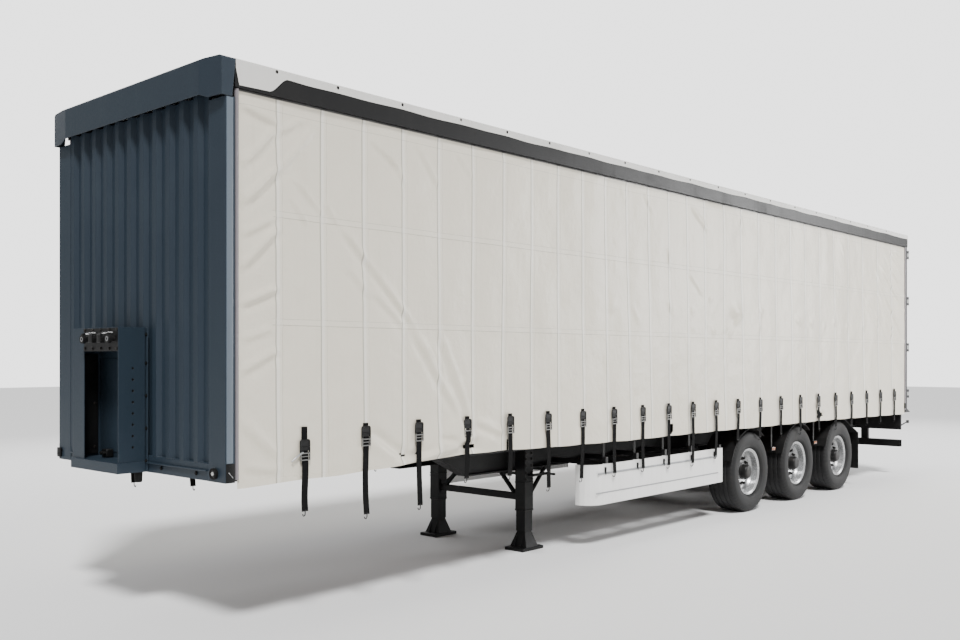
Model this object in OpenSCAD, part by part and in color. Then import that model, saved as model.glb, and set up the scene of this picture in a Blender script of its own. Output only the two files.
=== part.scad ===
// Three-axle curtain-sided semi trailer, parked on its landing legs.
// +X forward, +Y left, +Z up, millimetres. The origin is on the ground below the middle of the trailer.

/* [Body] */
// Length from the front wall to the rear doors
trailer_length = 13600; // [12600:10:14400]
// Width over the roof rails and corner posts
trailer_width = 2550; // [2400:10:2600]
// Height of the roof's crown above the ground
overall_height = 4110; // [3700:10:4300]
// Height of the load floor above the ground
floor_height = 1235; // [1180:5:1350]
// Thickness of the load floor boards
floor_t = 28; // [20:1:40]
// How far the roof's crown stands above its side edges
roof_camber = 18; // [10:1:60]
// Thickness of the roof sheet
roof_sheet_t = 5; // [3:1:8]
// Height of the roof sheet's side band
roof_band_h = 64; // [50:1:120]
// Height of the roof rail below the sheet's side band
rail_h = 138; // [110:1:200]
// Width of the roof rail
rail_w = 80; // [60:1:110]
// Number of roof bows
bow_count = 9; // [5:1:14]

/* [Front wall] */
// Width of the flat corner posts seen from the front
post_front_w = 215; // [150:5:260]
// Depth of the corner posts seen from the side
post_side_d = 75; // [60:1:100]
// Number of vertical ribs in the front wall
rib_count = 11; // [7:1:13]
// Depth of the ribs
rib_depth = 36; // [20:1:45]
// Thickness of the front wall sheet
wall_t = 5; // [3:1:8]
// Height of the header cap
cap_h = 284; // [200:1:320]
// How far the header cap stands in front of the wall
cap_front = 60; // [30:1:100]
// How far the header cap wraps round each side
cap_side = 80; // [70:1:200]
// Width of the header cap's set-back end pieces
cap_end_w = 253; // [150:1:300]
// How far the header cap's ends are set back
cap_end_back = 22; // [10:1:50]
// How far the header cap's end pieces reach lower than its middle
cap_end_drop = 32; // [10:1:60]
// Thickness of the cap sheet
cap_t = 4; // [3:1:6]
// Height of the front sill below the floor
sill_drop = 120; // [90:1:150]

/* [Connector box] */
// How far the connector box stands out from the wall
box_d = 220; // [160:5:260]
// How far the couplings stand out from the connector box
coupling_out = 56; // [50:1:70]
// Width of the connector box
box_w = 730; // [600:10:900]
// Distance of the box's middle to the right of the middle line
box_off = 180; // [0:5:300]
// Height of the connector box above its tray
box_h = 1030; // [800:10:1200]
// Height of the tray below the box
box_tray_h = 78; // [60:1:120]
// Sheet thickness of the box
box_t = 6; // [4:1:8]
// Width of the flange at the box's right edge
box_flange = 185; // [100:5:200]
// Diameter of the holes in the box's left panel
box_hole_d = 20; // [14:1:26]
// Spacing of the holes in the box's left panel
box_hole_pitch = 86; // [70:1:100]

/* [Curtains] */
// Thickness of a curtain
curtain_t = 5; // [3:1:8]
// How far a curtain hangs below the load floor
curtain_drop = 160; // [100:1:170]
// Width of a strap
strap_w = 55; // [35:1:60]

/* [Chassis] */
// Distance between the middles of the two main beams
beam_span = 980; // [900:10:1100]
// Width of the main beams' flanges
flange_w = 130; // [110:1:160]
// Thickness of the main beams' flanges
flange_t = 14; // [10:1:18]
// Thickness of the main beams' webs
web_t = 8; // [6:1:12]
// Depth of the main beams over the coupling
neck_depth = 84; // [76:1:110]
// Depth of the main beams behind the landing legs
beam_depth = 390; // [320:5:450]
// Length of the shallow front part of the beams
neck_length = 2500; // [2400:10:3200]
// Length of the sloping part of the beams
slope_length = 640; // [500:10:900]
// Number of crossmembers
cross_count = 20; // [14:1:26]
// Thickness of the coupling plate
plate_t = 8; // [6:1:12]
// Distance from the front wall to the kingpin
kingpin_back = 1620; // [1500:10:1800]

/* [Running gear] */
// Tyre diameter
tyre_d = 1030; // [990:2:1080]
// Tyre width
tyre_w = 385; // [300:5:400]
// Distance between the middles of the left and right tyres
track = 2080; // [2000:5:2100]
// Distance from the front wall to the middle axle
axle_back = 9345; // [9000:5:9800]
// Distance from one axle to the next
axle_pitch = 1430; // [1310:5:1480]
// Rim flange diameter
rim_d = 597; // [580:1:600]
// Radius of the wheel spindle
spindle_r = 45; // [35:1:60]

/* [Landing legs] */
// Distance from the front wall to the landing legs
leg_back = 4030; // [3800:10:4300]
// Width of a leg's outer tube
leg_w = 132; // [110:1:150]
// Width of a foot
foot_w = 335; // [300:5:420]
// Height of the lower end of a leg's outer tube
leg_outer_z = 400; // [350:5:500]

/* [Side guards] */
// Distance from the front wall to the front of the side guards
guard_front = 4390; // [4250:10:4500]
// Length of the side guards
guard_length = 2770; // [2600:10:2850]
// Height of the lower edge of the side guards
guard_z = 455; // [400:5:500]
// Height of a side guard panel
guard_h = 420; // [350:5:480]

/* [Rear] */
// Thickness of the rear doors
door_t = 30; // [25:1:40]
// Distance of the door hinge lines behind the doors
hinge_out = 40; // [38:1:60]
// Radius of the door hinge pins
hinge_pin_r = 6; // [5:0.5:8]
// Radius of the lock bars
lock_r = 13; // [10:1:15]
// Width of the rear corner posts
rear_post_w = 90; // [70:1:110]
// Depth of the rear corner posts
rear_post_d = 80; // [60:1:100]
// Height of the bumper bar's lower edge
bumper_z = 475; // [440:5:520]
// Height of the bumper bar
bumper_h = 115; // [100:5:140]

/* [Hidden] */
$fn = 64;
eps = 0.5;
gap = 5;
running = 0.05;

box_lip = 14;
dock_d = 120;
front_x = (trailer_length + dock_d - box_d - coupling_out) / 2;
rear_x = front_x - trailer_length;
half_w = trailer_width / 2;

// Distance from the front wall to each buckle, for a trailer of 13600.
buckle_at = [for (s = [690, 1285, 1880, 2475, 3060, 3625, 4190, 4745, 5290, 5834, 6374, 6926, 7487,
    8084, 8697, 9312, 9916, 10534, 11137, 11745, 12342, 12968]) s * trailer_length / 13600];

floor_under = floor_height - floor_t;
sill_z = floor_height - sill_drop;
plate_z = floor_under - neck_depth - plate_t;
beam_z = floor_under - beam_depth;
roof_edge = overall_height - roof_camber;
band_z = roof_edge - roof_band_h;
rail_z = band_z - rail_h;
rail_top = roof_edge - roof_sheet_t - 1;
cap_z = overall_height - 10 - cap_h;
cap_top = overall_height - 10;

seal = 4;
rail_back = rear_x + door_t + seal;
rail_front = front_x - post_side_d - 2;
side_rail_w = 110;
side_rail_z = floor_height - 117;
side_y = half_w - 35;
curtain_y = half_w - 25;
curtain_z = floor_height - curtain_drop;
curtain_front = front_x - post_side_d - 35;
curtain_rear = rear_x + door_t + seal + rear_post_d + 10;
strap_y = curtain_y + curtain_t + 2;

floor_half = side_y - side_rail_w;
floor_front = front_x - post_side_d - 3;
floor_rear = rear_x + door_t + seal + rear_post_d + 2;

web_y = beam_span / 2;
beam_front = front_x - post_side_d - 25;
beam_rear = rear_x + 330;
neck_end = beam_front - neck_length;
slope_end = neck_end - slope_length;

tyre_r = tyre_d / 2;
tyre_y = track / 2;
rim_half = tyre_w * 0.39;
rim_r = rim_d / 2;
axle_tube = 125;

leg_x = front_x - leg_back;
leg_y = web_y + flange_w / 2 + 6 + leg_w / 2;

hinge_x = rear_x - hinge_out;
hinge_y = half_w - 15;
door_edge = hinge_y - 27;
door_bottom = floor_height - 60;
door_top = rail_z + 150;
hinge_zs = [for (i = [0 : 3]) door_bottom + 200 + i * (rail_z - door_bottom - 330) / 3];
rear_in_y = half_w - 10 - rear_post_w;
lamp_x = rear_x + 240;
lamp_z = beam_z - 50;
shaft_z = beam_z - 40;
shaft_r = 14;
brace_z = floor_under - 667;

// A box from its low corner to its high corner.
module span(a, b) {
  translate(a)
    cube(b - a);
}

// The same shape on the left and on the right side.
module both_sides() {
  children();
  mirror([0, 1, 0])
    children();
}

// A plan outline raised from one height to another.
module raise(z0, z1) {
  translate([0, 0, z0])
    linear_extrude(z1 - z0)
      children();
}

// A side outline (x, z) given a thickness in y around the middle plane y.
module side_plate(y, t) {
  translate([0, y + t / 2, 0])
    rotate([90, 0, 0])
      linear_extrude(t)
        children();
}

// A section (y, z) run from one x to another.
module run_x(x0, x1) {
  translate([x0, 0, 0])
    rotate([90, 0, 90])
      linear_extrude(x1 - x0)
        children();
}

// A square tube along x.
module tube_x(x0, x1, y, z, w, h, t) {
  difference() {
    span([x0, y - w / 2, z - h / 2], [x1, y + w / 2, z + h / 2]);
    span([x0 - 1, y - w / 2 + t, z - h / 2 + t], [x1 + 1, y + w / 2 - t, z + h / 2 - t]);
  }
}

// A round bar between two points.
module bar(a, b, r) {
  d = b - a;
  translate(a)
    rotate([0, acos(d[2] / norm(d)), atan2(d[1], d[0])])
      cylinder(h = norm(d), r = r, $fn = 24);
}

// ---- chassis ----

module beam_side() {
  polygon([[beam_rear, beam_z], [slope_end, beam_z], [neck_end, floor_under - neck_depth],
    [beam_front, floor_under - neck_depth], [beam_front, floor_under], [beam_rear, floor_under]]);
}

module beam_lower_flange() {
  polygon([[beam_rear, beam_z], [slope_end, beam_z], [neck_end, floor_under - neck_depth],
    [beam_front, floor_under - neck_depth], [beam_front, floor_under - neck_depth + flange_t],
    [neck_end - 3, floor_under - neck_depth + flange_t], [slope_end - 3, beam_z + flange_t],
    [beam_rear, beam_z + flange_t]]);
}

module main_beams() {
  color([0.06, 0.065, 0.07])
    both_sides() {
      side_plate(web_y, web_t)
        beam_side();
      side_plate(web_y, flange_w)
        beam_lower_flange();
      span([beam_rear, web_y - flange_w / 2, floor_under - flange_t],
        [beam_front, web_y + flange_w / 2, floor_under]);
    }
}

// One crossmember: a piece between the beams and an outrigger outside each beam.
module crossmember(x) {
  in_y = web_y - web_t / 2 - 0.2;
  out_y = web_y + web_t / 2 + 0.2;
  fl_in = web_y - flange_w / 2 - 0.2;
  fl_out = web_y + flange_w / 2 + 0.2;
  under_flange = floor_under - flange_t - 0.2;
  low = floor_under - neck_depth + flange_t + 2;
  span([x - 30, -in_y, low], [x + 30, in_y, under_flange]);
  span([x - 30, -fl_in, low], [x + 30, fl_in, floor_under]);
  both_sides() {
    span([x - 30, out_y, low], [x + 30, side_y - side_rail_w - 0.2, under_flange]);
    span([x - 30, fl_out, low], [x + 30, side_y - side_rail_w - 0.2, floor_under]);
  }
}

module crossmembers() {
  first = beam_front - 120;
  last = beam_rear + 80;
  color([0.06, 0.065, 0.07])
    for (i = [0 : cross_count - 1])
      crossmember(first + (last - first) * i / (cross_count - 1));
}

module side_rails() {
  top = floor_height;
  low = side_rail_z;
  color([0.1, 0.11, 0.12])
    both_sides()
      difference() {
        span([floor_rear, side_y - side_rail_w, low], [floor_front, side_y, top]);
        span([floor_rear - 1, side_y - side_rail_w - 1, low + 8],
          [floor_front + 1, side_y - 8, top - 34]);
      }
}

module load_floor() {
  color([0.38, 0.24, 0.15])
    span([floor_rear, -floor_half + 0.3, floor_under], [floor_front, floor_half - 0.3, floor_height]);
}

module coupler_plate() {
  x0 = front_x - kingpin_back - 620;
  x1 = beam_front;
  color([0.13, 0.135, 0.14])
    difference() {
      span([x0, -web_y - flange_w / 2, plate_z], [x1, web_y + flange_w / 2, plate_z + plate_t]);
      translate([front_x - kingpin_back, 0, plate_z - 1])
        cylinder(h = plate_t + 2, r = 37.3);
    }
}

// The kingpin: a bolted head above the plate, a base, a neck of 50.8 mm and a lower collar of 71 mm.
module kingpin() {
  x = front_x - kingpin_back;
  color([0.5, 0.5, 0.5])
    translate([x, 0, 0]) {
      translate([0, 0, plate_z + plate_t])
        cylinder(h = flange_t, r = 98);
      translate([0, 0, plate_z])
        cylinder(h = plate_t + 1, r = 36.5);
      translate([0, 0, plate_z - 2])
        cylinder(h = 2.5, r = 36.5);
      translate([0, 0, plate_z - 50])
        cylinder(h = 50, r = 25.4);
      translate([0, 0, plate_z - 84])
        cylinder(h = 35, r = 35.5);
    }
}

// ---- front ----

post_y = half_w - post_front_w;
rib_pitch = 2 * (post_y - 4) / rib_count;

// Plan points of the ribbed sheet's outer face, from right to left.
function rib_line(x) = [for (i = [0 : rib_count - 1], p = [0 : 3])
    let (y0 = -post_y + 4 + i * rib_pitch, w = rib_pitch)
      [x - ((p == 1 || p == 2) ? rib_depth : 0),
        y0 + w * [0.28, 0.4, 0.88, 1][p]]];

module rib_plan() {
  outer = concat([[front_x - 2, -post_y + 4]], rib_line(front_x - 2));
  inner = [for (i = [len(outer) - 1 : -1 : 0]) outer[i] - [wall_t, 0]];
  polygon(concat(outer, inner));
}

module front_wall() {
  color([0.2, 0.25, 0.3]) {
    raise(floor_height + 4, cap_z + 60)
      rib_plan();
    difference() {
      span([front_x - post_side_d + 2, -post_y + 0.5, sill_z],
        [front_x - 4, post_y - 0.5, floor_height + 4.5]);
      span([front_x - post_side_d - 1, -post_y - 1, sill_z - 1],
        [front_x - 12, post_y + 1, floor_height - 4]);
    }
  }
}

module post_plan(g) {
  polygon([[front_x - g, post_y + g], [front_x - g, half_w - 7 - g * 0.6],
    [front_x - 2 - g, half_w - 2 - g], [front_x - 7 - g * 0.6, half_w - g],
    [front_x - post_side_d + g, half_w - g], [front_x - post_side_d + g, post_y + g]]);
}

module front_corner_posts() {
  color([0.24, 0.29, 0.34])
    both_sides()
      difference() {
        raise(sill_z, cap_z - 1)
          post_plan(0);
        raise(sill_z - 1, cap_z)
          post_plan(6);
      }
}

// The header cap seen from above, its ends set back a little behind its middle.
module cap_plan(g) {
  x1 = front_x + cap_front - g;
  x0 = front_x - cap_side;
  y1 = half_w + 6 - g;
  y2 = half_w + 6 - cap_end_w;
  polygon([[x0, -y1], [x1 - cap_end_back, -y1], [x1, -y2], [x1, y2], [x1 - cap_end_back, y1], [x0, y1]]);
}

// The header cap seen from the side, its rear edge leaning back.
module cap_side_shape(g) {
  x1 = front_x + cap_front - g;
  x0 = front_x - cap_side;
  polygon([[x0 + 30, cap_z - g], [x1, cap_z - g], [x1, cap_top - 8 - g], [x1 - 8, cap_top - g],
    [x0, cap_top - g]]);
}

// The header cap seen from the front, its ends lower at the foot and eased at the top.
module cap_front_shape(g) {
  y1 = half_w + 6 - g;
  y2 = half_w + 6 - cap_end_w;
  low = cap_z + cap_end_drop - g;
  polygon([[-y1, cap_z - g], [-y2 - 100, cap_z - g], [-y2, low], [y2, low], [y2 + 100, cap_z - g],
    [y1, cap_z - g], [y1, cap_top - 24 - g], [y1 - 20, cap_top - 8 - g], [y2, cap_top - g],
    [-y2, cap_top - g], [-y1 + 20, cap_top - 8 - g], [-y1, cap_top - 24 - g]]);
}

module cap_body(g) {
  intersection() {
    raise(cap_z - g, cap_top - g)
      cap_plan(g);
    side_plate(0, trailer_width + 40)
      cap_side_shape(g);
    run_x(front_x - cap_side - 1, front_x + cap_front + 1)
      cap_front_shape(g);
  }
}

module front_header_cap() {
  color([0.22, 0.27, 0.32])
    difference() {
      cap_body(0);
      translate([-cap_t, 0, 0])
        cap_body(cap_t);
      cap_body(cap_t);
    }
}

box_y1 = box_w / 2 - box_off;
box_y0 = -box_w / 2 - box_off;
box_z0 = sill_z + box_tray_h;
box_z1 = box_z0 + box_h;

module connector_box() {
  x0 = front_x + 0.5;
  x1 = front_x + box_d;
  color([0.2, 0.25, 0.3])
    difference() {
      union() {
        span([x0, box_y1 - box_t, box_z0 - 1], [x1, box_y1, box_z1]);
        span([x0, box_y0, box_z0 - 1], [x1, box_y0 + box_t, box_z1]);
        span([x0, box_y0, box_z0 - 1], [x0 + box_t, box_y1, box_z1]);
        span([x0, box_y0, box_z1 - box_t], [x1, box_y1, box_z1]);
        span([x1 - box_t, box_y0, box_z0 - 1], [x1, box_y0 + box_flange, box_z1]);
        span([x0, box_y0 - 12, box_z0 - box_tray_h], [x1 + box_lip, box_y1 + 12, box_z0]);
        translate([x0 + 40, box_y1 - 30, box_z0 - box_tray_h - 78])
          cylinder(h = 80, r1 = 19, r2 = 27);
      }
      span([x0 + box_t, box_y0 - 6, box_z0 - box_tray_h - 80],
        [x0 + box_t + 20, box_y0 - 5, box_z0 - box_tray_h - 79]);
      for (i = [0 : 7])
        translate([x0 + box_d * 0.46, box_y1 - box_t - 1, box_z0 + 115 + i * box_hole_pitch])
          rotate([-90, 0, 0])
            cylinder(h = box_t + 2, d = box_hole_d, $fn = 32);
    }
}

coup_ys = [for (i = [0 : 3]) box_y0 + box_flange + 70 + i * (box_w - box_flange - 140) / 3];
coup_z = box_z1 - 88;
coup_x = front_x + box_d;

// A header plate with two air couplings outside and two electric sockets between them.
module air_couplings() {
  color([0.12, 0.12, 0.13]) {
    span([coup_x - 6, box_y0 + box_flange + 1, coup_z - 94],
      [coup_x, box_y1 - box_t - 1, box_z1 - box_t - 1]);
    for (i = [0 : 3])
      translate([coup_x - 1, coup_ys[i], coup_z])
        rotate([0, 90, 0]) {
          cylinder(h = coupling_out - 10, r = 20, $fn = 32);
          translate([0, 0, (i == 1 || i == 2) ? 12 : coupling_out - 25])
            cylinder(
              h = (i == 1 || i == 2) ? coupling_out - 18 : 26,
              r = (i == 1 || i == 2) ? 30 : 34,
              $fn = 32);
        }
  }
}

// ---- roof and sides ----

module rail_section() {
  y1 = half_w;
  y0 = half_w - rail_w;
  polygon([[y0, rail_z], [y1, rail_z], [y1, band_z - 1], [y1 - roof_sheet_t - 2, band_z - 1],
    [y1 - roof_sheet_t - 2, rail_top - 20], [y1 - roof_sheet_t - 20, rail_top], [y0, rail_top],
    [y0, rail_z + 60], [y0 + 8, rail_z + 60],
    [y0 + 8, rail_top - 8], [y1 - roof_sheet_t - 24, rail_top - 8], [y1 - roof_sheet_t - 10, rail_top - 24],
    [y1 - roof_sheet_t - 10, band_z - 9], [y1 - 8, band_z - 9], [y1 - 8, rail_z + 8],
    [y0, rail_z + 8]]);
}

module roof_rails() {
  color([0.23, 0.235, 0.245])
    both_sides()
      run_x(rail_back, rail_front)
        rail_section();
}

module roof_bows() {
  x0 = rail_back + 700;
  x1 = rail_front - 500;
  y = half_w - rail_w - 1;
  color([0.6, 0.62, 0.63])
    for (i = [0 : bow_count - 1]) {
      x = x0 + (x1 - x0) * i / (bow_count - 1);
      translate([x - 20, 0, 0])
        rotate([90, 0, 90])
          linear_extrude(40)
            polygon([[-y, rail_top - 60], [y, rail_top - 60], [y, rail_top - 4],
              [0, overall_height - roof_sheet_t - 2], [-y, rail_top - 4]]);
    }
}

// Half section of the roof sheet: side band, rounded shoulder and a low camber.
function roof_line(g) = [[half_w - g, band_z], [half_w - g, roof_edge - 14],
  [half_w - 6 - g * 0.7, roof_edge - 4 - g * 0.5], [half_w - 18 - g * 0.3, roof_edge - g],
  [half_w * 0.75, roof_edge + roof_camber * 0.5 - g], [half_w * 0.4, roof_edge + roof_camber * 0.87 - g],
  [0, overall_height - g]];

module roof_sheet() {
  o = roof_line(0);
  n = len(o);
  i = roof_line(roof_sheet_t);
  outer = concat(o, [for (k = [n - 2 : -1 : 0]) [-o[k][0], o[k][1]]]);
  inner = concat([for (k = [0 : n - 1]) [-i[k][0], i[k][1]]], [for (k = [n - 2 : -1 : 0]) i[k]]);
  color([0.88, 0.88, 0.86])
    run_x(rail_back, front_x - cap_side - 1)
      polygon(concat(outer, inner));
}

module curtain() {
  span([curtain_rear, curtain_y - curtain_t / 2, curtain_z],
    [curtain_front, curtain_y + curtain_t / 2, rail_z - 1]);
}

module curtain_left() {
  color([0.84, 0.82, 0.79])
    curtain();
}

module curtain_right() {
  color([0.84, 0.82, 0.79])
    mirror([0, 1, 0])
      curtain();
}

// Lower end of each strap: the first ones hang long, the others hook under the side rail.
function strap_end(i) = [900, 820, 830, 1010, 1000, 770, 640, 700, 720, 730, 740][min(i, 10)];

module curtain_straps() {
  color([0.05, 0.05, 0.055])
    both_sides()
      for (i = [0 : len(buckle_at) - 1])
        translate([front_x - buckle_at[i], 0, 0]) {
          span([-strap_w / 2, strap_y, strap_end(i)],
            [strap_w / 2, strap_y + 3, floor_height + 70]);
          span([-strap_w / 2 - 5, strap_y, floor_height + 60],
            [strap_w / 2 + 5, half_w - 1, floor_height + 212]);
        }
}

post_xs = [for (i = [1 : 3]) floor_front + (floor_rear - floor_front) * i / 4];
side_post_w = 110;
post_top = rail_z - 1;

module side_posts() {
  color([0.55, 0.56, 0.57])
    both_sides()
      for (x = post_xs)
        difference() {
          span([x - side_post_w / 2, side_y - 75, floor_height + 0.5],
            [x + side_post_w / 2, side_y - 5, post_top]);
          span([x - side_post_w / 2 + 5, side_y - 70, floor_height - 1],
            [x + side_post_w / 2 - 5, side_y - 10, post_top + 1]);
        }
}

module side_slats() {
  stops = concat([floor_front - 20], post_xs, [floor_rear + 20]);
  color([0.62, 0.5, 0.36])
    both_sides()
      for (b = [0 : 3], r = [0 : 3])
        span([stops[b + 1] + side_post_w / 2 + 2, side_y - 52, floor_height + 350 + r * 560],
          [stops[b] - side_post_w / 2 - 2, side_y - 27, floor_height + 470 + r * 560]);
}

// ---- rear ----

module hinge_lugs() {
  for (z = hinge_zs)
    for (k = [-1, 1])
      translate([0, 0, z + k * 52 - 20]) {
        span([hinge_x - 6, hinge_y - 22, 0], [rail_back + 20, hinge_y + 5, 40]);
        translate([hinge_x, hinge_y, 0])
          cylinder(h = 40, r = 12);
      }
  for (z = hinge_zs)
    translate([hinge_x, hinge_y, z - 60])
      cylinder(h = 120, r = hinge_pin_r);
}

module rear_frame() {
  x0 = rail_back;
  x1 = rail_back + rear_post_d;
  color([0.17, 0.175, 0.18]) {
    both_sides() {
      difference() {
        span([x0, rear_in_y, sill_z], [x1, half_w - 10, rail_z - 1]);
        span([x0 + 6, rear_in_y + 6, sill_z + 20], [x1 - 6, half_w - 16, rail_z + 1]);
      }
      hinge_lugs();
      side_plate(half_w - 22, 24)
        polygon([[rear_x - dock_d, sill_z - 60], [rail_back + rear_post_d, sill_z - 60],
          [rail_back + rear_post_d, sill_z], [rail_back, sill_z], [rail_back - 14, sill_z - 2]]);
    }
    span([x0, -rear_in_y + eps, sill_z], [x1, rear_in_y - eps, floor_height]);
    span([x0, -half_w + rail_w + eps, rail_z], [x1, half_w - rail_w - eps, rail_top - 4]);
  }
}

module door_panel() {
  span([rear_x, 3, door_bottom], [rear_x + door_t, door_edge, door_top]);
  for (z = hinge_zs)
    difference() {
      translate([0, 0, z - 30])
        union() {
          span([hinge_x - 8, hinge_y - 26, 0], [hinge_x + 36, hinge_y - 4, 60]);
          span([rear_x - 12, hinge_y - 190, 0], [rear_x + 0.5, hinge_y - 4, 60]);
          translate([hinge_x, hinge_y, 0])
            cylinder(h = 60, r = 12);
        }
      translate([hinge_x, hinge_y, z - 40])
        cylinder(h = 80, r = hinge_pin_r + running);
    }
}

module rear_door_left() {
  color([0.8, 0.81, 0.8])
    door_panel();
}

module rear_door_right() {
  color([0.8, 0.81, 0.8])
    mirror([0, 1, 0])
      door_panel();
}

lock_ys = [380, 860];

// Two lock bars with their bearings, cams and handles.
module lock_bars() {
  xb = rear_x - 20;
  for (y = lock_ys) {
    translate([xb, y, door_bottom + 20])
      cylinder(h = door_top - door_bottom - 40, r = lock_r, $fn = 32);
    for (z = [door_bottom + 30, door_bottom + 500, (door_bottom + door_top) / 2,
      door_top - 500, door_top - 90])
      span([xb - 16, y - 30, z], [rear_x - 0.2, y + 30, z + 60]);
    span([xb - 16, y - 190, door_bottom + 620], [xb - 6, y + 10, door_bottom + 660]);
  }
}

module lock_bars_left() {
  color([0.6, 0.61, 0.62])
    lock_bars();
}

module lock_bars_right() {
  color([0.6, 0.61, 0.62])
    mirror([0, 1, 0])
      lock_bars();
}

module underride_bumper() {
  x = lamp_x - 40;
  w = half_w - 60;
  color([0.07, 0.075, 0.08]) {
    difference() {
      span([x - 50, -w, bumper_z], [x + 50, w, bumper_z + bumper_h]);
      span([x - 45, -w - 1, bumper_z + 5], [x + 45, w + 1, bumper_z + bumper_h - 5]);
    }
    both_sides()
      span([x - 30, web_y + 60, bumper_z + bumper_h - 1], [x + 30, web_y + 180, lamp_z - 0.3]);
  }
}

// The lamp board under the rear sill with its lamps and marker arms, the amber lamps between the
// wheels on their hangers, and the round marker lamp low on the left of the front wall.
module lamps() {
  z1 = side_rail_z - 68;
  w = half_w - 40;
  color([0.08, 0.08, 0.085]) {
    span([lamp_x - 20, -w, lamp_z], [lamp_x + 20, w, z1]);
    both_sides() {
      span([lamp_x - 75, w - 470, lamp_z + 40], [lamp_x - 19, w - 30, z1 - 60]);
      bar([lamp_x - 4, w - 20, lamp_z + 60], [lamp_x - 130, w + 8, lamp_z + 100], 11);
      bar([lamp_x - 124, w + 7, lamp_z + 100], [lamp_x - 250, w + 20, lamp_z + 122], 10);
      span([lamp_x - 300, w + 2, lamp_z + 100], [lamp_x - 240, w + 32, lamp_z + 150]);
    }
  }
  color([0.85, 0.85, 0.82])
    translate([front_x + 0.3, half_w - 130, sill_z + 60])
      rotate([0, 90, 0])
        cylinder(h = 22, r = 38, $fn = 48);
  color([0.9, 0.5, 0.1])
    both_sides()
      for (o = [800, -540])
        translate([axle_x(2) + o, half_w - 60, 0]) {
          span([-55, -14, 745], [55, 14, 795]);
          span([-16, -20, 770], [16, -14, side_rail_z - 0.3]);
        }
}

// ---- landing legs ----

module leg() {
  top = floor_under - flange_t - 4;
  translate([leg_x, leg_y, 0]) {
    difference() {
      span([-leg_w / 2, -leg_w / 2, leg_outer_z], [leg_w / 2, leg_w / 2, top]);
      span([-leg_w / 2 + 7, -leg_w / 2 + 7, leg_outer_z - 1], [leg_w / 2 - 7, leg_w / 2 - 7, top - 20]);
    }
    span([-leg_w / 2 + 6, -leg_w / 2 + 6, 190], [leg_w / 2 - 6, leg_w / 2 - 6, leg_outer_z + 150]);
    hull() {
      span([-50, -50, 190], [50, 50, 195]);
      span([-foot_w / 2 + 70, -foot_w * 0.32, 30], [foot_w / 2 - 70, foot_w * 0.32, 32]);
    }
    span([-foot_w / 2, -foot_w * 0.36, 0], [foot_w / 2, foot_w * 0.36, 31]);
  }
}

module landing_legs() {
  color([0.06, 0.062, 0.065])
    both_sides()
      leg();
}

module landing_brace() {
  in_y = leg_y - leg_w / 2 - 0.4;
  z = brace_z;
  top = beam_z + 150;
  color([0.06, 0.062, 0.065]) {
    span([leg_x - 30, -in_y, z - 33], [leg_x + 30, in_y, z + 33]);
    span([leg_x - 30, -web_y + web_t / 2 + 0.4, top], [leg_x + 30, web_y - web_t / 2 - 0.4, top + 60]);
    both_sides() {
      span([leg_x - 34, in_y - 8, z - 60], [leg_x + 34, in_y, z + 90]);
      bar([leg_x, in_y - 40, z + 10], [leg_x, 110, top + 20], 24);
      bar([leg_x, 340, z + 170], [leg_x, web_y - 95, top + 10], 18);
      span([leg_x - leg_w / 2 - 40, leg_y - 30, z - 40], [leg_x - leg_w / 2 - 0.4, leg_y + 30, z + 70]);
      bar([leg_x - leg_w / 2 - 24, leg_y, z + 20], [leg_x - 430, web_y + flange_w / 2 - 10, beam_z - 24], 22);
      span([leg_x - 510, web_y - 50, beam_z - 30], [leg_x - 350, web_y + 62, beam_z - 0.3]);
    }
    translate([leg_x, 0, shaft_z])
      rotate([90, 0, 0])
        cylinder(h = 2 * in_y, r = shaft_r, center = true, $fn = 24);
    translate([leg_x, leg_y + leg_w / 2 + 0.4, shaft_z])
      rotate([-90, 0, 0])
        cylinder(h = 70, r = shaft_r, $fn = 24);
    span([leg_x - 230, leg_y + leg_w / 2 + 50, shaft_z - 14],
      [leg_x + 14, leg_y + leg_w / 2 + 62, shaft_z + 14]);
    translate([leg_x - 214, leg_y + leg_w / 2 + 50, shaft_z])
      rotate([-90, 0, 0])
        cylinder(h = 120, r = 12, $fn = 24);
  }
}

// ---- side guards ----

guard_r = 200;
guard_y = half_w - 55;

module guard_plan(g) {
  x1 = front_x - guard_front;
  polygon(concat([[x1 - guard_length + g, guard_y - 22 + g], [x1 - guard_length + g, guard_y - g]],
    [for (a = [90 : -15 : 0])
      [x1 - guard_r + (guard_r - g) * cos(a), guard_y - guard_r + (guard_r - g) * sin(a)]],
    [for (a = [0 : 15 : 90])
      [x1 - guard_r + (guard_r - 22 + g) * cos(a), guard_y - guard_r + (guard_r - 22 + g) * sin(a)]]));
}

guard_xs = [for (k = [0 : 3]) front_x - guard_front - 315 - k * 585];

// A panel with a rounded nose, short posts above it and a full post at its rear end.
module side_guards() {
  top = guard_z + guard_h;
  x0 = front_x - guard_front - guard_length;
  color([0.9, 0.91, 0.92])
    both_sides() {
      raise(guard_z, top)
        guard_plan(0);
      for (x = guard_xs)
        span([x - 22, guard_y - 60, top - 60], [x + 22, guard_y - 21, top + 70]);
      span([x0 + 1, guard_y - 60, guard_z + 2], [x0 + 40, guard_y - 21, top + 40]);
    }
}

// Dark hangers from the side rails and arms from the main beams that carry the side guards.
module guard_brackets() {
  top = guard_z + guard_h;
  color([0.06, 0.065, 0.07])
    both_sides()
      for (x = guard_xs) {
        span([x - 20, guard_y - 68, top - 60], [x + 20, guard_y - 60.4, side_rail_z - 0.4]);
        span([x - 20, web_y + web_t / 2 + 0.4, beam_z + 30], [x + 20, guard_y - 60.4, beam_z + 80]);
      }
}

// ---- running gear ----

function axle_x(n) = front_x - axle_back - (n - 2) * axle_pitch;

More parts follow.
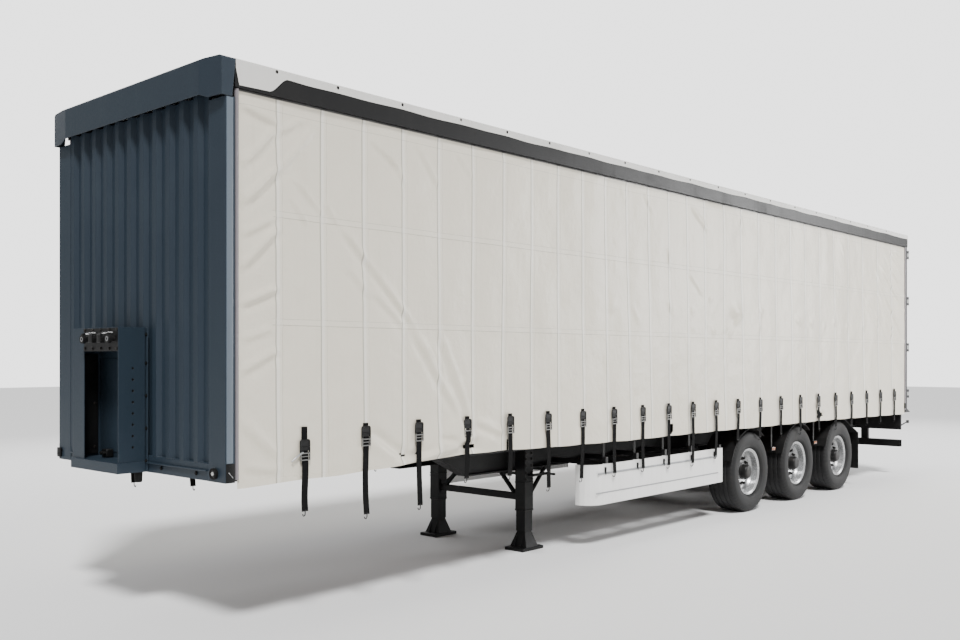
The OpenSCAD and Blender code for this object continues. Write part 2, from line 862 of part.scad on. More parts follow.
// A quarter shell over each wheel and a flap behind the last one.
module mudguard_ring(a0, a1) {
  r0 = tyre_r + 45;
  r1 = r0 + 6;
  n = 8;
  polygon(concat([for (i = [0 : n]) r1 * [cos(a0 + (a1 - a0) * i / n), sin(a0 + (a1 - a0) * i / n)]],
    [for (i = [n : -1 : 0]) r0 * [cos(a0 + (a1 - a0) * i / n), sin(a0 + (a1 - a0) * i / n)]]));
}

module mudguards() {
  r1 = tyre_r + 51;
  xf = axle_x(3) - tyre_r - 190;
  zf = 1.52 * tyre_r;
  xa = axle_x(3) + r1 * cos(118);
  za = tyre_r + r1 * sin(118);
  color([0.05, 0.05, 0.052])
    both_sides() {
      for (n = [1 : 3])
        translate([axle_x(n), 0, tyre_r])
          side_plate(tyre_y - 8, 400)
            mudguard_ring(18, n == 3 ? 120 : 128);
      side_plate(tyre_y - 8, 400)
        polygon([[xa + 6, za - 6], [xa + 6, za], [xa, za], [xf - 6, zf + 40], [xf - 6, zf - 60],
          [xf, zf - 60], [xf, zf + 36], [xa - 2, za - 6]]);
      span([xf - 11, tyre_y - 200, 262], [xf - 5.5, tyre_y + 190, zf + 20]);
      for (n = [1 : 3])
        span([axle_x(n) - 20, web_y + web_t / 2 + 0.4, 2 * tyre_r + 50],
          [axle_x(n) + 20, tyre_y + 190, 2 * tyre_r + 76]);
    }
}

module axles() {
  color([0.09, 0.09, 0.095])
    for (n = [1 : 3])
      translate([axle_x(n), 0, tyre_r]) {
        rotate([90, 0, 0])
          cylinder(h = 2 * (tyre_y - 170), d = axle_tube, center = true);
        both_sides() {
          translate([0, tyre_y - 171, 0])
            rotate([-90, 0, 0])
              cylinder(h = 12, r = 176);
          translate([0, tyre_y - 160, 0])
            rotate([-90, 0, 0])
              cylinder(h = 226, r = spindle_r);
        }
      }
}

module trailing_arms() {
  color([0.08, 0.08, 0.085])
    both_sides()
      for (n = [1 : 3])
        translate([axle_x(n), 0, 0]) {
          difference() {
            hull() {
              span([430, web_y - 45, tyre_r + 130], [500, web_y + 45, tyre_r + 131]);
              span([380, web_y - 45, beam_z - 1], [560, web_y + 45, beam_z - 0.3]);
            }
            span([300, web_y - 36, tyre_r], [600, web_y + 36, beam_z - 30]);
          }
          side_plate(web_y, 70)
            polygon([[490, tyre_r + 150], [490, tyre_r + 190], [420, tyre_r + 190],
              [90, tyre_r + axle_tube / 2 + 40], [-90, tyre_r + axle_tube / 2 + 40],
              [-335, tyre_r + 10], [-560, tyre_r + 10], [-560, tyre_r - 20], [-335, tyre_r - 25],
              [-90, tyre_r + axle_tube / 2 + 1], [90, tyre_r + axle_tube / 2 + 1]]);
        }
}

module air_springs() {
  color([0.04, 0.04, 0.042])
    both_sides()
      for (n = [1 : 3])
        translate([axle_x(n) - 470, web_y, tyre_r + 11]) {
          cylinder(h = beam_z - tyre_r - 11.3, r = 115);
          translate([0, 0, 60])
            cylinder(h = beam_z - tyre_r - 110, r = 138);
        }
}

module air_tanks() {
  color([0.1, 0.1, 0.105])
    both_sides()
      translate([leg_x - 900, 0, beam_z + 130]) {
        translate([0, 240, 0])
          rotate([0, 90, 0])
            cylinder(h = 900, r = 135, center = true);
        for (k = [-1, 1])
          span([k * 300 - 20, 240, -60], [k * 300 + 20, web_y - web_t / 2 - 0.3, 60]);
      }
}

// Half section of a tyre about its axle: [radius, across].
module tyre_section() {
  w = tyre_w / 2;
  half = [[rim_r - 21.7, rim_half - 13], [rim_r + 1.5, rim_half - 12], [rim_r + 12, rim_half + 15],
    [rim_r + 60, w * 0.965], [rim_r + 110, w], [tyre_r - 90, w * 0.985], [tyre_r - 40, w * 0.92],
    [tyre_r - 10, w * 0.84], [tyre_r, w * 0.74]];
  inside = [[tyre_r - 30, w * 0.66], [tyre_r - 60, w * 0.84], [rim_r + 100, w * 0.88],
    [rim_r + 50, w * 0.82], [rim_r + 6, rim_half - 38], [rim_r - 21.7, rim_half - 38]];
  n = len(half);
  m = len(inside);
  polygon(concat([for (i = [0 : n - 1]) half[i]], [for (i = [n - 1 : -1 : 0]) [half[i][0], -half[i][1]]],
    [for (i = [m - 1 : -1 : 0]) [inside[i][0], -inside[i][1]]], [for (i = [0 : m - 1]) inside[i]]));
}

// Half section of a rim with its disc, hub, drum and cap, outboard side positive.
module rim_section() {
  seat = rim_r - 22;
  inner = rim_r - 34;
  drop = rim_r - 52;
  bore = spindle_r + running;
  polygon([[rim_r, -rim_half], [rim_r, -rim_half + 9], [seat, -rim_half + 12], [seat, -60],
    [seat - 18, -38], [seat - 18, 20], [seat, 46], [seat, rim_half - 12], [rim_r, rim_half - 9],
    [rim_r, rim_half], [rim_r - 12, rim_half], [inner, rim_half - 12], [inner, 58], [drop, 30],
    [226, 34], [196, 26], [112, 26], [104, 36], [104, 62], [88, 70], [84, 140], [72, 152], [0, 154],
    [0, 74], [bore, 74], [bore, -120], [100, -120], [100, -10], [192, -10], [192, -rim_half],
    [212, -rim_half], [212, 6], [drop, 12], [drop, -42], [inner, -62], [inner, -rim_half + 12],
    [rim_r - 12, -rim_half]]);
}

module at_wheel(n, side) {
  translate([axle_x(n), side * tyre_y, tyre_r])
    rotate([-90 * side, 0, 0])
      children();
}

module tyre(n, side) {
  color([0.06, 0.06, 0.063])
    at_wheel(n, side)
      rotate_extrude($fn = 96)
        tyre_section();
}

module rim(n, side) {
  color([0.75, 0.76, 0.77])
    at_wheel(n, side)
      difference() {
        rotate_extrude($fn = 96)
          rim_section();
        for (i = [0 : 9])
          rotate([0, 0, 36 * i + 18])
            translate([204, 0, 15])
              cylinder(h = 40, r = 20, $fn = 32);
      }
}

main_beams();
crossmembers();
side_rails();
load_floor();
coupler_plate();
kingpin();
front_wall();
front_corner_posts();
front_header_cap();
connector_box();
air_couplings();
roof_rails();
roof_bows();
roof_sheet();
curtain_left();
curtain_right();
curtain_straps();
side_posts();
side_slats();
rear_frame();
rear_door_left();
rear_door_right();
lock_bars_left();
lock_bars_right();
underride_bumper();
lamps();
landing_legs();
landing_brace();
side_guards();
guard_brackets();
mudguards();
axles();
trailing_arms();
air_springs();
air_tanks();
tyre(1, 1);  // tyre_1_left
rim(1, 1);  // rim_1_left
tyre(2, 1);  // tyre_2_left
rim(2, 1);  // rim_2_left
tyre(3, 1);  // tyre_3_left
rim(3, 1);  // rim_3_left
tyre(1, -1);  // tyre_1_right
rim(1, -1);  // rim_1_right
tyre(2, -1);  // tyre_2_right
rim(2, -1);  // rim_2_right
tyre(3, -1);  // tyre_3_right
rim(3, -1);  // rim_3_right
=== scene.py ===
"""Curtain-sided semi trailer: the camera, the light, the finishes and the pieces that the frame leaves plain."""

import math

import bpy
import numpy as np
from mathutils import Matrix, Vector


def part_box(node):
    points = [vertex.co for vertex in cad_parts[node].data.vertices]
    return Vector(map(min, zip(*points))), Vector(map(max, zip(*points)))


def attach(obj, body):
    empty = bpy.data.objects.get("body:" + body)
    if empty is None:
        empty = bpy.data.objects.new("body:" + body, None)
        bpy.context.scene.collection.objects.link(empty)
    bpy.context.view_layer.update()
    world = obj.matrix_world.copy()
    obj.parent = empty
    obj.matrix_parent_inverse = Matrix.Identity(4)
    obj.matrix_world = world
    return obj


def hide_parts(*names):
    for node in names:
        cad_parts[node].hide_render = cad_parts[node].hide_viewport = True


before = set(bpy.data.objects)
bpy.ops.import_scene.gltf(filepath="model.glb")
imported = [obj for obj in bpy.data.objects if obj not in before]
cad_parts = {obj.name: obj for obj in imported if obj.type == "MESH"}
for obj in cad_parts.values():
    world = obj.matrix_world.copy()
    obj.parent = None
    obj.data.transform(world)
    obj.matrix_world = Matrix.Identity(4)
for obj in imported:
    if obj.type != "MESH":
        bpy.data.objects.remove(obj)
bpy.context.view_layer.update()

rng = np.random.default_rng(7)

# ---- places taken from the frame, in metres ----
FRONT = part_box("front_corner_posts")[1].x
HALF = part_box("front_corner_posts")[1].y
RAIL_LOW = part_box("roof_rails")[0].z
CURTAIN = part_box("curtain_left")
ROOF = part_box("roof_sheet")
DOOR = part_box("rear_door_left")
REAR = DOOR[1].x - 0.030


def add(name, data):
    """A new object in the scene that shows the data."""
    thing = bpy.data.objects.new(name, data)
    bpy.context.scene.collection.objects.link(thing)
    return thing


def aimed(way):
    """The turn that points a camera or a light along a direction."""
    return Vector(way).to_track_quat("-Z", "Y").to_euler()


def back(s):
    """The x of a place s metres behind the front wall."""
    return FRONT - s


# ---- camera ----
CAMERA_AHEAD, CAMERA_ASIDE, EYE_HEIGHT = 3.87, 5.89, 1.99
CAMERA_LOOKS = (-0.741, -0.6715, 0.0)
camera_data = bpy.data.cameras.new("camera")
camera = add("camera", camera_data)
camera.location = (FRONT + CAMERA_AHEAD, HALF + CAMERA_ASIDE, EYE_HEIGHT)
camera.rotation_euler = aimed(CAMERA_LOOKS)
camera_data.sensor_width = 36.0
camera_data.lens = 36.85
camera_data.shift_y = 0.0394
camera_data.clip_end = 200.0
bpy.context.scene.camera = camera


# ---- shapes: points on grids, joined by quads ----
def grid_quads(rows, cols, wrap_rows=False, wrap_cols=False):
    """Quads joining each point of a rows by cols grid to its neighbours, wrapping round where asked."""
    i, j = np.meshgrid(np.arange(rows if wrap_rows else rows - 1),
                       np.arange(cols if wrap_cols else cols - 1), indexing="ij")
    i2, j2 = (i + 1) % rows, (j + 1) % cols
    return np.stack([i * cols + j, i2 * cols + j, i2 * cols + j2, i * cols + j2], -1).reshape(-1, 4)


def volume(verts, quads, caps):
    """Signed volume: the sum over the faces' triangles of a . (b x c) / 6."""
    tris = [quads[:, [0, 1, 2]], quads[:, [0, 2, 3]]]
    tris += [np.stack([np.full(len(c) - 2, c[0]), c[1:-1], c[2:]], -1) for c in caps]
    a, b, c = np.moveaxis(verts[np.concatenate(tris)], 1, 0)
    return np.einsum("ij,ij->i", a, np.cross(b, c)).sum() / 6


def closed(verts, quads, caps=()):
    """A closed shape (points, quads, end faces) with its faces turned outwards."""
    caps = [np.asarray(c) for c in caps]
    if volume(verts - verts.mean(0), quads, caps) < 0:
        quads, caps = quads[:, ::-1], [c[::-1] for c in caps]
    return verts, quads, caps


def join(shapes):
    """Several shapes as one, the indices of each shifted past those before it."""
    starts = np.cumsum([0] + [len(s[0]) for s in shapes])
    return (np.concatenate([s[0] for s in shapes]),
            np.concatenate([s[1] + k for s, k in zip(shapes, starts)]),
            [c + k for s, k in zip(shapes, starts) for c in s[2]])


def repeat(shape, offsets):
    """The shape copied to every offset: points plus offset, one broadcast for all copies."""
    verts, quads, caps = shape
    offsets = np.asarray(offsets, float)
    step = np.arange(len(offsets)) * len(verts)
    return ((verts[None] + offsets[:, None]).reshape(-1, 3),
            (quads[None] + step[:, None, None]).reshape(-1, 4),
            [c + k for k in step for c in caps])


def flipped(shape):
    """The shape mirrored across the middle plane: y changes sign and each face turns round."""
    verts, quads, caps = shape
    return verts * [1, -1, 1], quads[:, ::-1], [c[::-1] for c in caps]


def both(shape):
    """The shape on the left and its mirror on the right."""
    return join([shape, flipped(shape)])


def on_side(shape, side):
    """The shape as it is on the left (side 1), or its mirror on the right (side -1)."""
    return shape if side > 0 else flipped(shape)


def swept(outline, path, side, closed_path=False):
    """An outline (a, b) carried along a path: path + a * side + b * (tangent x side), with flat ends."""
    outline, path = np.asarray(outline, float), np.asarray(path, float)
    if closed_path:
        tangent = np.roll(path, -1, 0) - np.roll(path, 1, 0)
    else:
        tangent = np.gradient(path, axis=0)
    tangent /= np.linalg.norm(tangent, axis=1, keepdims=True)
    side = np.broadcast_to(np.asarray(side, float), path.shape)
    side = side - tangent * np.einsum("ij,ij->i", side, tangent)[:, None]
    side = side / np.linalg.norm(side, axis=1, keepdims=True)
    up = np.cross(tangent, side)
    verts = (path[:, None] + outline[None, :, :1] * side[:, None] + outline[None, :, 1:] * up[:, None]).reshape(-1, 3)
    n, m = len(path), len(outline)
    caps = [] if closed_path else [np.arange(m), np.arange((n - 1) * m, n * m)[::-1]]
    return closed(verts, grid_quads(n, m, wrap_rows=closed_path, wrap_cols=True), caps)


def frame_of(axis):
    """Two directions square to an axis, and the axis, each of length one."""
    w = np.asarray(axis, float) / np.linalg.norm(axis)
    u = np.cross([0, 0, 1] if abs(w[2]) < 0.9 else [1, 0, 0], w)
    u /= np.linalg.norm(u)
    return u, np.cross(w, u), w


def turned(profile, centre, axis, sides=32):
    """A profile (radius, along) turned about an axis: centre + r cos t u + r sin t v + along w."""
    profile = np.asarray(profile, float)
    u, v, w = frame_of(axis)
    t = np.linspace(0, 2 * np.pi, sides, endpoint=False)
    ring = np.cos(t)[:, None] * u + np.sin(t)[:, None] * v
    verts = np.asarray(centre) + profile[:, None, :1] * ring[None] + profile[:, None, 1:] * w
    n = len(profile)
    caps = [np.arange(sides)[::-1], np.arange((n - 1) * sides, n * sides)]
    return closed(verts.reshape(-1, 3), grid_quads(n, sides, wrap_cols=True), caps)


def rod(a, b, r, sides=16, ease=0.15):
    """A round bar from a to b with eased ends."""
    a, b = np.asarray(a, float), np.asarray(b, float)
    length = np.linalg.norm(b - a)
    e = min(ease * r, 0.3 * length)
    return turned([(r - e, 0), (r, e), (r, length - e), (r - e, length)], a, b - a, sides)


def rounded(width, height, r, n=3):
    """Points of a rectangle with rounded corners, centred: corner centres plus r (cos t, sin t)."""
    r = min(r, 0.49 * width, 0.49 * height)
    t = np.linspace(0, np.pi / 2, n)
    sx, sy = np.array([1, -1, -1, 1]), np.array([1, 1, -1, -1])
    a = t[None] + np.arange(4)[:, None] * np.pi / 2
    x = sx[:, None] * (width / 2 - r) + r * np.cos(a)
    y = sy[:, None] * (height / 2 - r) + r * np.sin(a)
    return np.stack([x, y], -1).reshape(-1, 2)


def block(low, high, edge=0.003):
    """A box with eased edges: rounded rectangles along its longest way, drawn in by the edge at both ends."""
    low, high = np.asarray(low, float), np.asarray(high, float)
    size = high - low
    k = int(np.argmax(size))
    a, b = [i for i in range(3) if i != k]
    e = min(edge, 0.45 * size.min())
    levels = [(low[k], e), (low[k] + e, 0), (high[k] - e, 0), (high[k], e)]
    mid = (low + high) / 2
    rings = []
    for along, inset in levels:
        p = rounded(size[a] - 2 * inset, size[b] - 2 * inset, e)
        ring = np.zeros((len(p), 3))
        ring[:, a], ring[:, b], ring[:, k] = mid[a] + p[:, 0], mid[b] + p[:, 1], along
        rings.append(ring)
    m = len(rings[0])
    return closed(np.concatenate(rings), grid_quads(4, m, wrap_cols=True),
                  [np.arange(m), np.arange(3 * m, 4 * m)[::-1]])


def plate(outline, low, high, axis):
    """A flat outline given a thickness along an axis: the outline at low and at high, closed."""
    outline = np.asarray(outline, float)
    a, b = [i for i in range(3) if i != axis]
    verts = np.zeros((2, len(outline), 3))
    verts[..., a], verts[..., b] = outline[:, 0], outline[:, 1]
    verts[0, :, axis], verts[1, :, axis] = low, high
    m = len(outline)
    return closed(verts.reshape(-1, 3), grid_quads(2, m, wrap_cols=True), [np.arange(m), np.arange(m, 2 * m)[::-1]])


def circle(r, n=12):
    """Points of a circle: r (cos t, sin t)."""
    t = np.linspace(0, 2 * np.pi, n, endpoint=False)
    return np.stack([r * np.cos(t), r * np.sin(t)], -1)


def tube(path, r, n=10):
    """A round section carried along a smooth path."""
    path = np.asarray(path, float)
    way = path[-1] - path[0]
    side = [0, 1, 0] if abs(way[1]) < 0.7 * np.linalg.norm(way) else [0, 0, 1]
    return swept(circle(r, n), path, side)


def curve(points, n=24):
    """A smooth line through points: Catmull-Rom pieces blended from the four nearest points."""
    p = np.asarray(points, float)
    p = np.concatenate([2 * p[:1] - p[1:2], p, 2 * p[-1:] - p[-2:-1]])
    u = np.linspace(0, len(p) - 3 - 1e-6, n)
    k = u.astype(int)
    t = (u - k)[:, None]
    a, b, c, d = p[k], p[k + 1], p[k + 2], p[k + 3]
    return 0.5 * (2 * b + (c - a) * t + (2 * a - 5 * b + 4 * c - d) * t**2 + (3 * b - a - 3 * c + d) * t**3)


def smooth(t):
    """Rises from 0 to 1 as t does, as t squared times (3 - 2 t), flat outside."""
    t = np.clip(t, 0, 1)
    return t * t * (3 - 2 * t)


def hex_bolt(axis, r=0.012, h=0.009):
    """A washer and a six-sided head standing along an axis."""
    return join([turned([(r * 1.5, 0), (r * 1.55, 0.001), (r * 1.5, 0.0025)], (0, 0, 0), axis, 20),
                 turned([(r, 0.002), (r * 1.1, 0.003), (r * 1.1, h), (r * 0.85, h + 0.0015)], (0, 0, 0), axis, 6)])


def rivet(axis, r=0.006, h=0.003):
    """A low round head: radius falls as the root of one minus the height squared."""
    t = np.linspace(0, 0.95, 4)
    return turned(np.stack([r * np.sqrt(1 - t**2), h * t], -1), (0, 0, 0), axis, 12)


def put(name, shape, material, body="chassis", angle=32.0, uv=None):
    """Makes the piece's mesh with foreach_set, smooths it below an angle, and lets it ride on its body."""
    verts, quads, caps = shape
    mesh = bpy.data.meshes.new(name)
    sizes = np.concatenate([np.full(len(quads), 4), np.array([len(c) for c in caps], int)]).astype(np.int32)
    loops = np.concatenate([quads.reshape(-1)] + [np.asarray(c) for c in caps]).astype(np.int32)
    mesh.vertices.add(len(verts))
    mesh.vertices.foreach_set("co", np.ascontiguousarray(verts, np.float32).reshape(-1))
    mesh.loops.add(len(loops))
    mesh.loops.foreach_set("vertex_index", loops)
    mesh.polygons.add(len(sizes))
    mesh.polygons.foreach_set("loop_start", np.concatenate([[0], np.cumsum(sizes)[:-1]]).astype(np.int32))
    mesh.polygons.foreach_set("loop_total", sizes)
    mesh.update(calc_edges=True)
    mesh.validate()
    mesh.polygons.foreach_set("use_smooth", np.ones(len(mesh.polygons), bool))
    if angle < 180:
        mesh.set_sharp_from_angle(angle=math.radians(angle))
    if uv is not None:
        layer = mesh.uv_layers.new(name="flat")
        layer.data.foreach_set("uv", np.ascontiguousarray(uv[loops], np.float32).reshape(-1))
    mesh.materials.append(material)
    piece = add(name, mesh)
    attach(piece, body)
    return piece


# ---- shader groups ----
def new_group(name, inputs, outputs):
    """An empty shader group with its named sockets; returns the tree and its two end nodes."""
    tree = bpy.data.node_groups.new(name, "ShaderNodeTree")
    for label, kind, value in inputs:
        socket = tree.interface.new_socket(label, in_out="INPUT", socket_type=kind)
        socket.default_value = value
    for label, kind in outputs:
        tree.interface.new_socket(label, in_out="OUTPUT", socket_type=kind)
    return tree, tree.nodes.new("NodeGroupInput"), tree.nodes.new("NodeGroupOutput")


FLOAT, COLOUR, VECTOR = "NodeSocketFloat", "NodeSocketColor", "NodeSocketVector"


class Wire:
    """Adds nodes to a tree and links their sockets."""

    def __init__(self, tree):
        self.tree = tree

    def node(self, kind, links=(), **values):
        """A node whose inputs are linked to an output, or set to a value."""
        node = self.tree.nodes.new(kind)
        for key, value in values.items():
            setattr(node, key, value)
        for socket, source in dict(links).items():
            if hasattr(source, "is_output"):
                self.tree.links.new(source, node.inputs[socket])
            else:
                node.inputs[socket].default_value = source
        return node

    def math(self, how, a, b=0.0, c=0.0, clamp=False):
        node = self.node("ShaderNodeMath", {0: a, 1: b, 2: c}, operation=how, use_clamp=clamp)
        return node.outputs[0]

    def times(self, a, b):
        return self.math("MULTIPLY", a, b)

    def plus(self, a, b, clamp=False):
        return self.math("ADD", a, b, clamp=clamp)

    def minus(self, a, b, clamp=False):
        return self.math("SUBTRACT", a, b, clamp=clamp)

    def times_plus(self, a, b, c):
        return self.math("MULTIPLY_ADD", a, b, c)

    def step(self, value, low, high, to_low=0.0, to_high=1.0):
        node = self.node("ShaderNodeMapRange", {0: value, 1: low, 2: high, 3: to_low, 4: to_high},
                         interpolation_type="SMOOTHSTEP")
        return node.outputs[0]

    def mix(self, factor, a, b):
        return self.node("ShaderNodeMix", {0: factor, 6: a, 7: b}, data_type="RGBA").outputs[2]

    def xyz(self, vector):
        return self.node("ShaderNodeSeparateXYZ", {0: vector}).outputs

    def feed(self, surface, **sources):
        """Links outputs to the named inputs of a node, with _ for a space."""
        for label, source in sources.items():
            self.tree.links.new(source, surface.inputs[label.replace("_", " ")])

    def relief(self, surface, strength, distance, height, **links):
        """Feeds a bump of this height to the surface's normal."""
        values = {"Strength": strength, "Distance": distance, "Height": height, **links}
        self.feed(surface, Normal=self.node("ShaderNodeBump", values).outputs[0])

    def noise(self, vector, scale, detail=3.0, rough=0.5):
        node = self.node("ShaderNodeTexNoise", {"Vector": vector, "Scale": scale, "Detail": detail,
                "Roughness": rough})
        return node.outputs["Fac"]

    def place(self, vector, scale):
        return self.node("ShaderNodeMapping", {"Vector": vector, "Scale": scale}).outputs[0]


def build_weathering():
    """Soft patches of dust and rain streaks: the base colour is mixed towards the dirt where two noises are high."""
    tree, start, end = new_group("weathering", [("Vector", VECTOR, (0, 0, 0)), ("Base", COLOUR, (0.5, 0.5, 0.5, 1)),
                                                ("Dirt", COLOUR, (0.2, 0.18, 0.15, 1)), ("Amount", FLOAT, 0.3),
                                                ("Streaks", FLOAT, 0.3), ("Scale", FLOAT, 1.5)],
                                 [("Color", COLOUR), ("Mask", FLOAT), ("Gloss", FLOAT)])
    w = Wire(tree)
    i = start.outputs
    cloud = w.step(w.noise(i["Vector"], i["Scale"], 6.0, 0.62), 0.45, 0.78)
    run = w.noise(w.place(i["Vector"], (9.0, 9.0, 0.35)), 2.2, 4.0, 0.6)
    run = w.step(run, 0.5, 0.8)
    mask = w.plus(w.times(cloud, i["Amount"]), w.times(run, i["Streaks"]), clamp=True)
    fine = w.noise(i["Vector"], 90.0, 2.0, 0.6)
    w.feed(end, Color=w.mix(mask, i["Base"], i["Dirt"]))
    w.feed(end, Mask=mask)
    w.feed(end, Gloss=w.step(fine, 0.3, 0.8, -0.05, 0.06))
    return tree


def build_edges():
    """Rounded corners as a normal, and a mask that is high where that normal leaves the face's own."""
    tree, start, end = new_group("eased_edges", [("Radius", FLOAT, 0.004)], [("Normal", VECTOR), ("Edge", FLOAT)])
    w = Wire(tree)
    bevel = w.node("ShaderNodeBevel", {"Radius": start.outputs["Radius"]}, samples=4)
    face = w.node("ShaderNodeNewGeometry").outputs["True Normal"]
    dot = w.node("ShaderNodeVectorMath", {0: bevel.outputs[0], 1: face}, operation="DOT_PRODUCT").outputs["Value"]
    w.feed(end, Normal=bevel.outputs[0])
    w.feed(end, Edge=w.step(dot, 0.99, 0.8))
    return tree


def build_weave():
    """Crossed threads: the product of two sines across a flat cloth, height from 0 to 1."""
    tree, start, end = new_group("weave", [("Vector", VECTOR, (0, 0, 0)), ("Threads", FLOAT, 900.0)],
            [("Height", FLOAT)])
    w = Wire(tree)
    xyz = w.xyz(start.outputs["Vector"])
    a = w.math("SINE", w.times(xyz[0], start.outputs["Threads"]))
    b = w.math("SINE", w.times(xyz[2], start.outputs["Threads"]))
    w.feed(end, Height=w.times_plus(w.times(a, b), 0.5, 0.5))
    return tree


def build_bands():
    """Bands at a regular pitch: distance to the nearest line, 1 inside the half width, with soft sides."""
    tree, start, end = new_group("bands", [("Along", FLOAT, 0.0), ("First", FLOAT, 0.0), ("Pitch", FLOAT, 0.4),
                                           ("Half width", FLOAT, 0.02), ("Soft", FLOAT, 0.003)],
            [("Inside", FLOAT), ("Rim", FLOAT)])
    w = Wire(tree)
    i = start.outputs
    turn = w.math("DIVIDE", w.minus(i["Along"], i["First"]), i["Pitch"])
    off = w.times(w.math("ABSOLUTE", w.minus(w.math("FRACT", w.plus(turn, 0.5)), 0.5)), i["Pitch"])
    inside = w.minus(1.0, w.math("DIVIDE", w.minus(off, i["Half width"]), i["Soft"]), clamp=True)
    rim = w.math("ABSOLUTE", w.minus(off, i["Half width"]))
    w.feed(end, Inside=inside)
    w.feed(end, Rim=w.minus(1.0, w.math("DIVIDE", rim, i["Soft"]), clamp=True))
    return tree


WEATHER, EDGES, WEAVE, BANDS = build_weathering(), build_edges(), build_weave(), build_bands()


# ---- materials ----
def use(w, tree, **values):
    """A shader group placed in a material with its own values."""
    node = w.node("ShaderNodeGroup")
    node.node_tree = tree
    for label, value in values.items():
        if hasattr(value, "is_output"):
            w.feed(node, **{label: value})
        else:
            node.inputs[label.replace("_", " ")].default_value = value
    return node.outputs


def weathered(w, at, base, dirt, dust, streaks, scale):
    """The weathering group on a base colour: how much dust, how many streaks, and the size of the patches."""
    return use(w, WEATHER, Vector=at, Base=(*base, 1), Dirt=(*dirt, 1), Amount=dust, Streaks=streaks, Scale=scale)


def start_material(name, **fixed):
    """A material with a Principled surface whose fixed values are set on its own sockets."""
    material = bpy.data.materials.new(name)
    material.use_nodes = True
    surface = material.node_tree.nodes["Principled BSDF"]
    for label, value in fixed.items():
        surface.inputs[label.replace("_", " ")].default_value = value
    w = Wire(material.node_tree)
    return material, w, surface, w.node("ShaderNodeTexCoord").outputs["Object"]


def coated(name, base, dirt=(0.2, 0.18, 0.15), rough=0.4, dust=0.25, streaks=0.2, scale=1.5, metal=0.0, ease=0.004,
           wear=0.0, bare=(0.4, 0.4, 0.4), grain=240.0, lift=0.00015, coat=0.0, spec=0.5):
    """Painted, plated or moulded: dust and streaks on a base, eased edges with wear, and a fine grain."""
    m, w, surface, at = start_material(name, Coat_Weight=coat, Coat_Roughness=0.12, Specular_IOR_Level=spec)
    dirty = weathered(w, at, base, dirt, dust, streaks, scale)
    edge = use(w, EDGES, Radius=ease)
    worn = w.times(edge["Edge"], w.step(w.noise(at, 14.0, 5.0, 0.7), 0.42, 0.68, 0.0, wear))
    w.feed(surface, Base_Color=w.mix(worn, dirty["Color"], (*bare, 1)))
    gloss = w.plus(w.times_plus(dirty["Mask"], 0.35, rough), dirty["Gloss"], clamp=True)
    w.feed(surface, Roughness=gloss)
    if metal:
        w.feed(surface, Metallic=w.minus(metal, w.times(dirty["Mask"], 0.6 * metal)))
    height = w.plus(w.noise(at, grain, 2.0, 0.5), w.times(w.noise(at, grain / 14, 2.0, 0.5), 3.0))
    w.relief(surface, 0.5, lift, height, Normal=edge["Normal"])
    return m


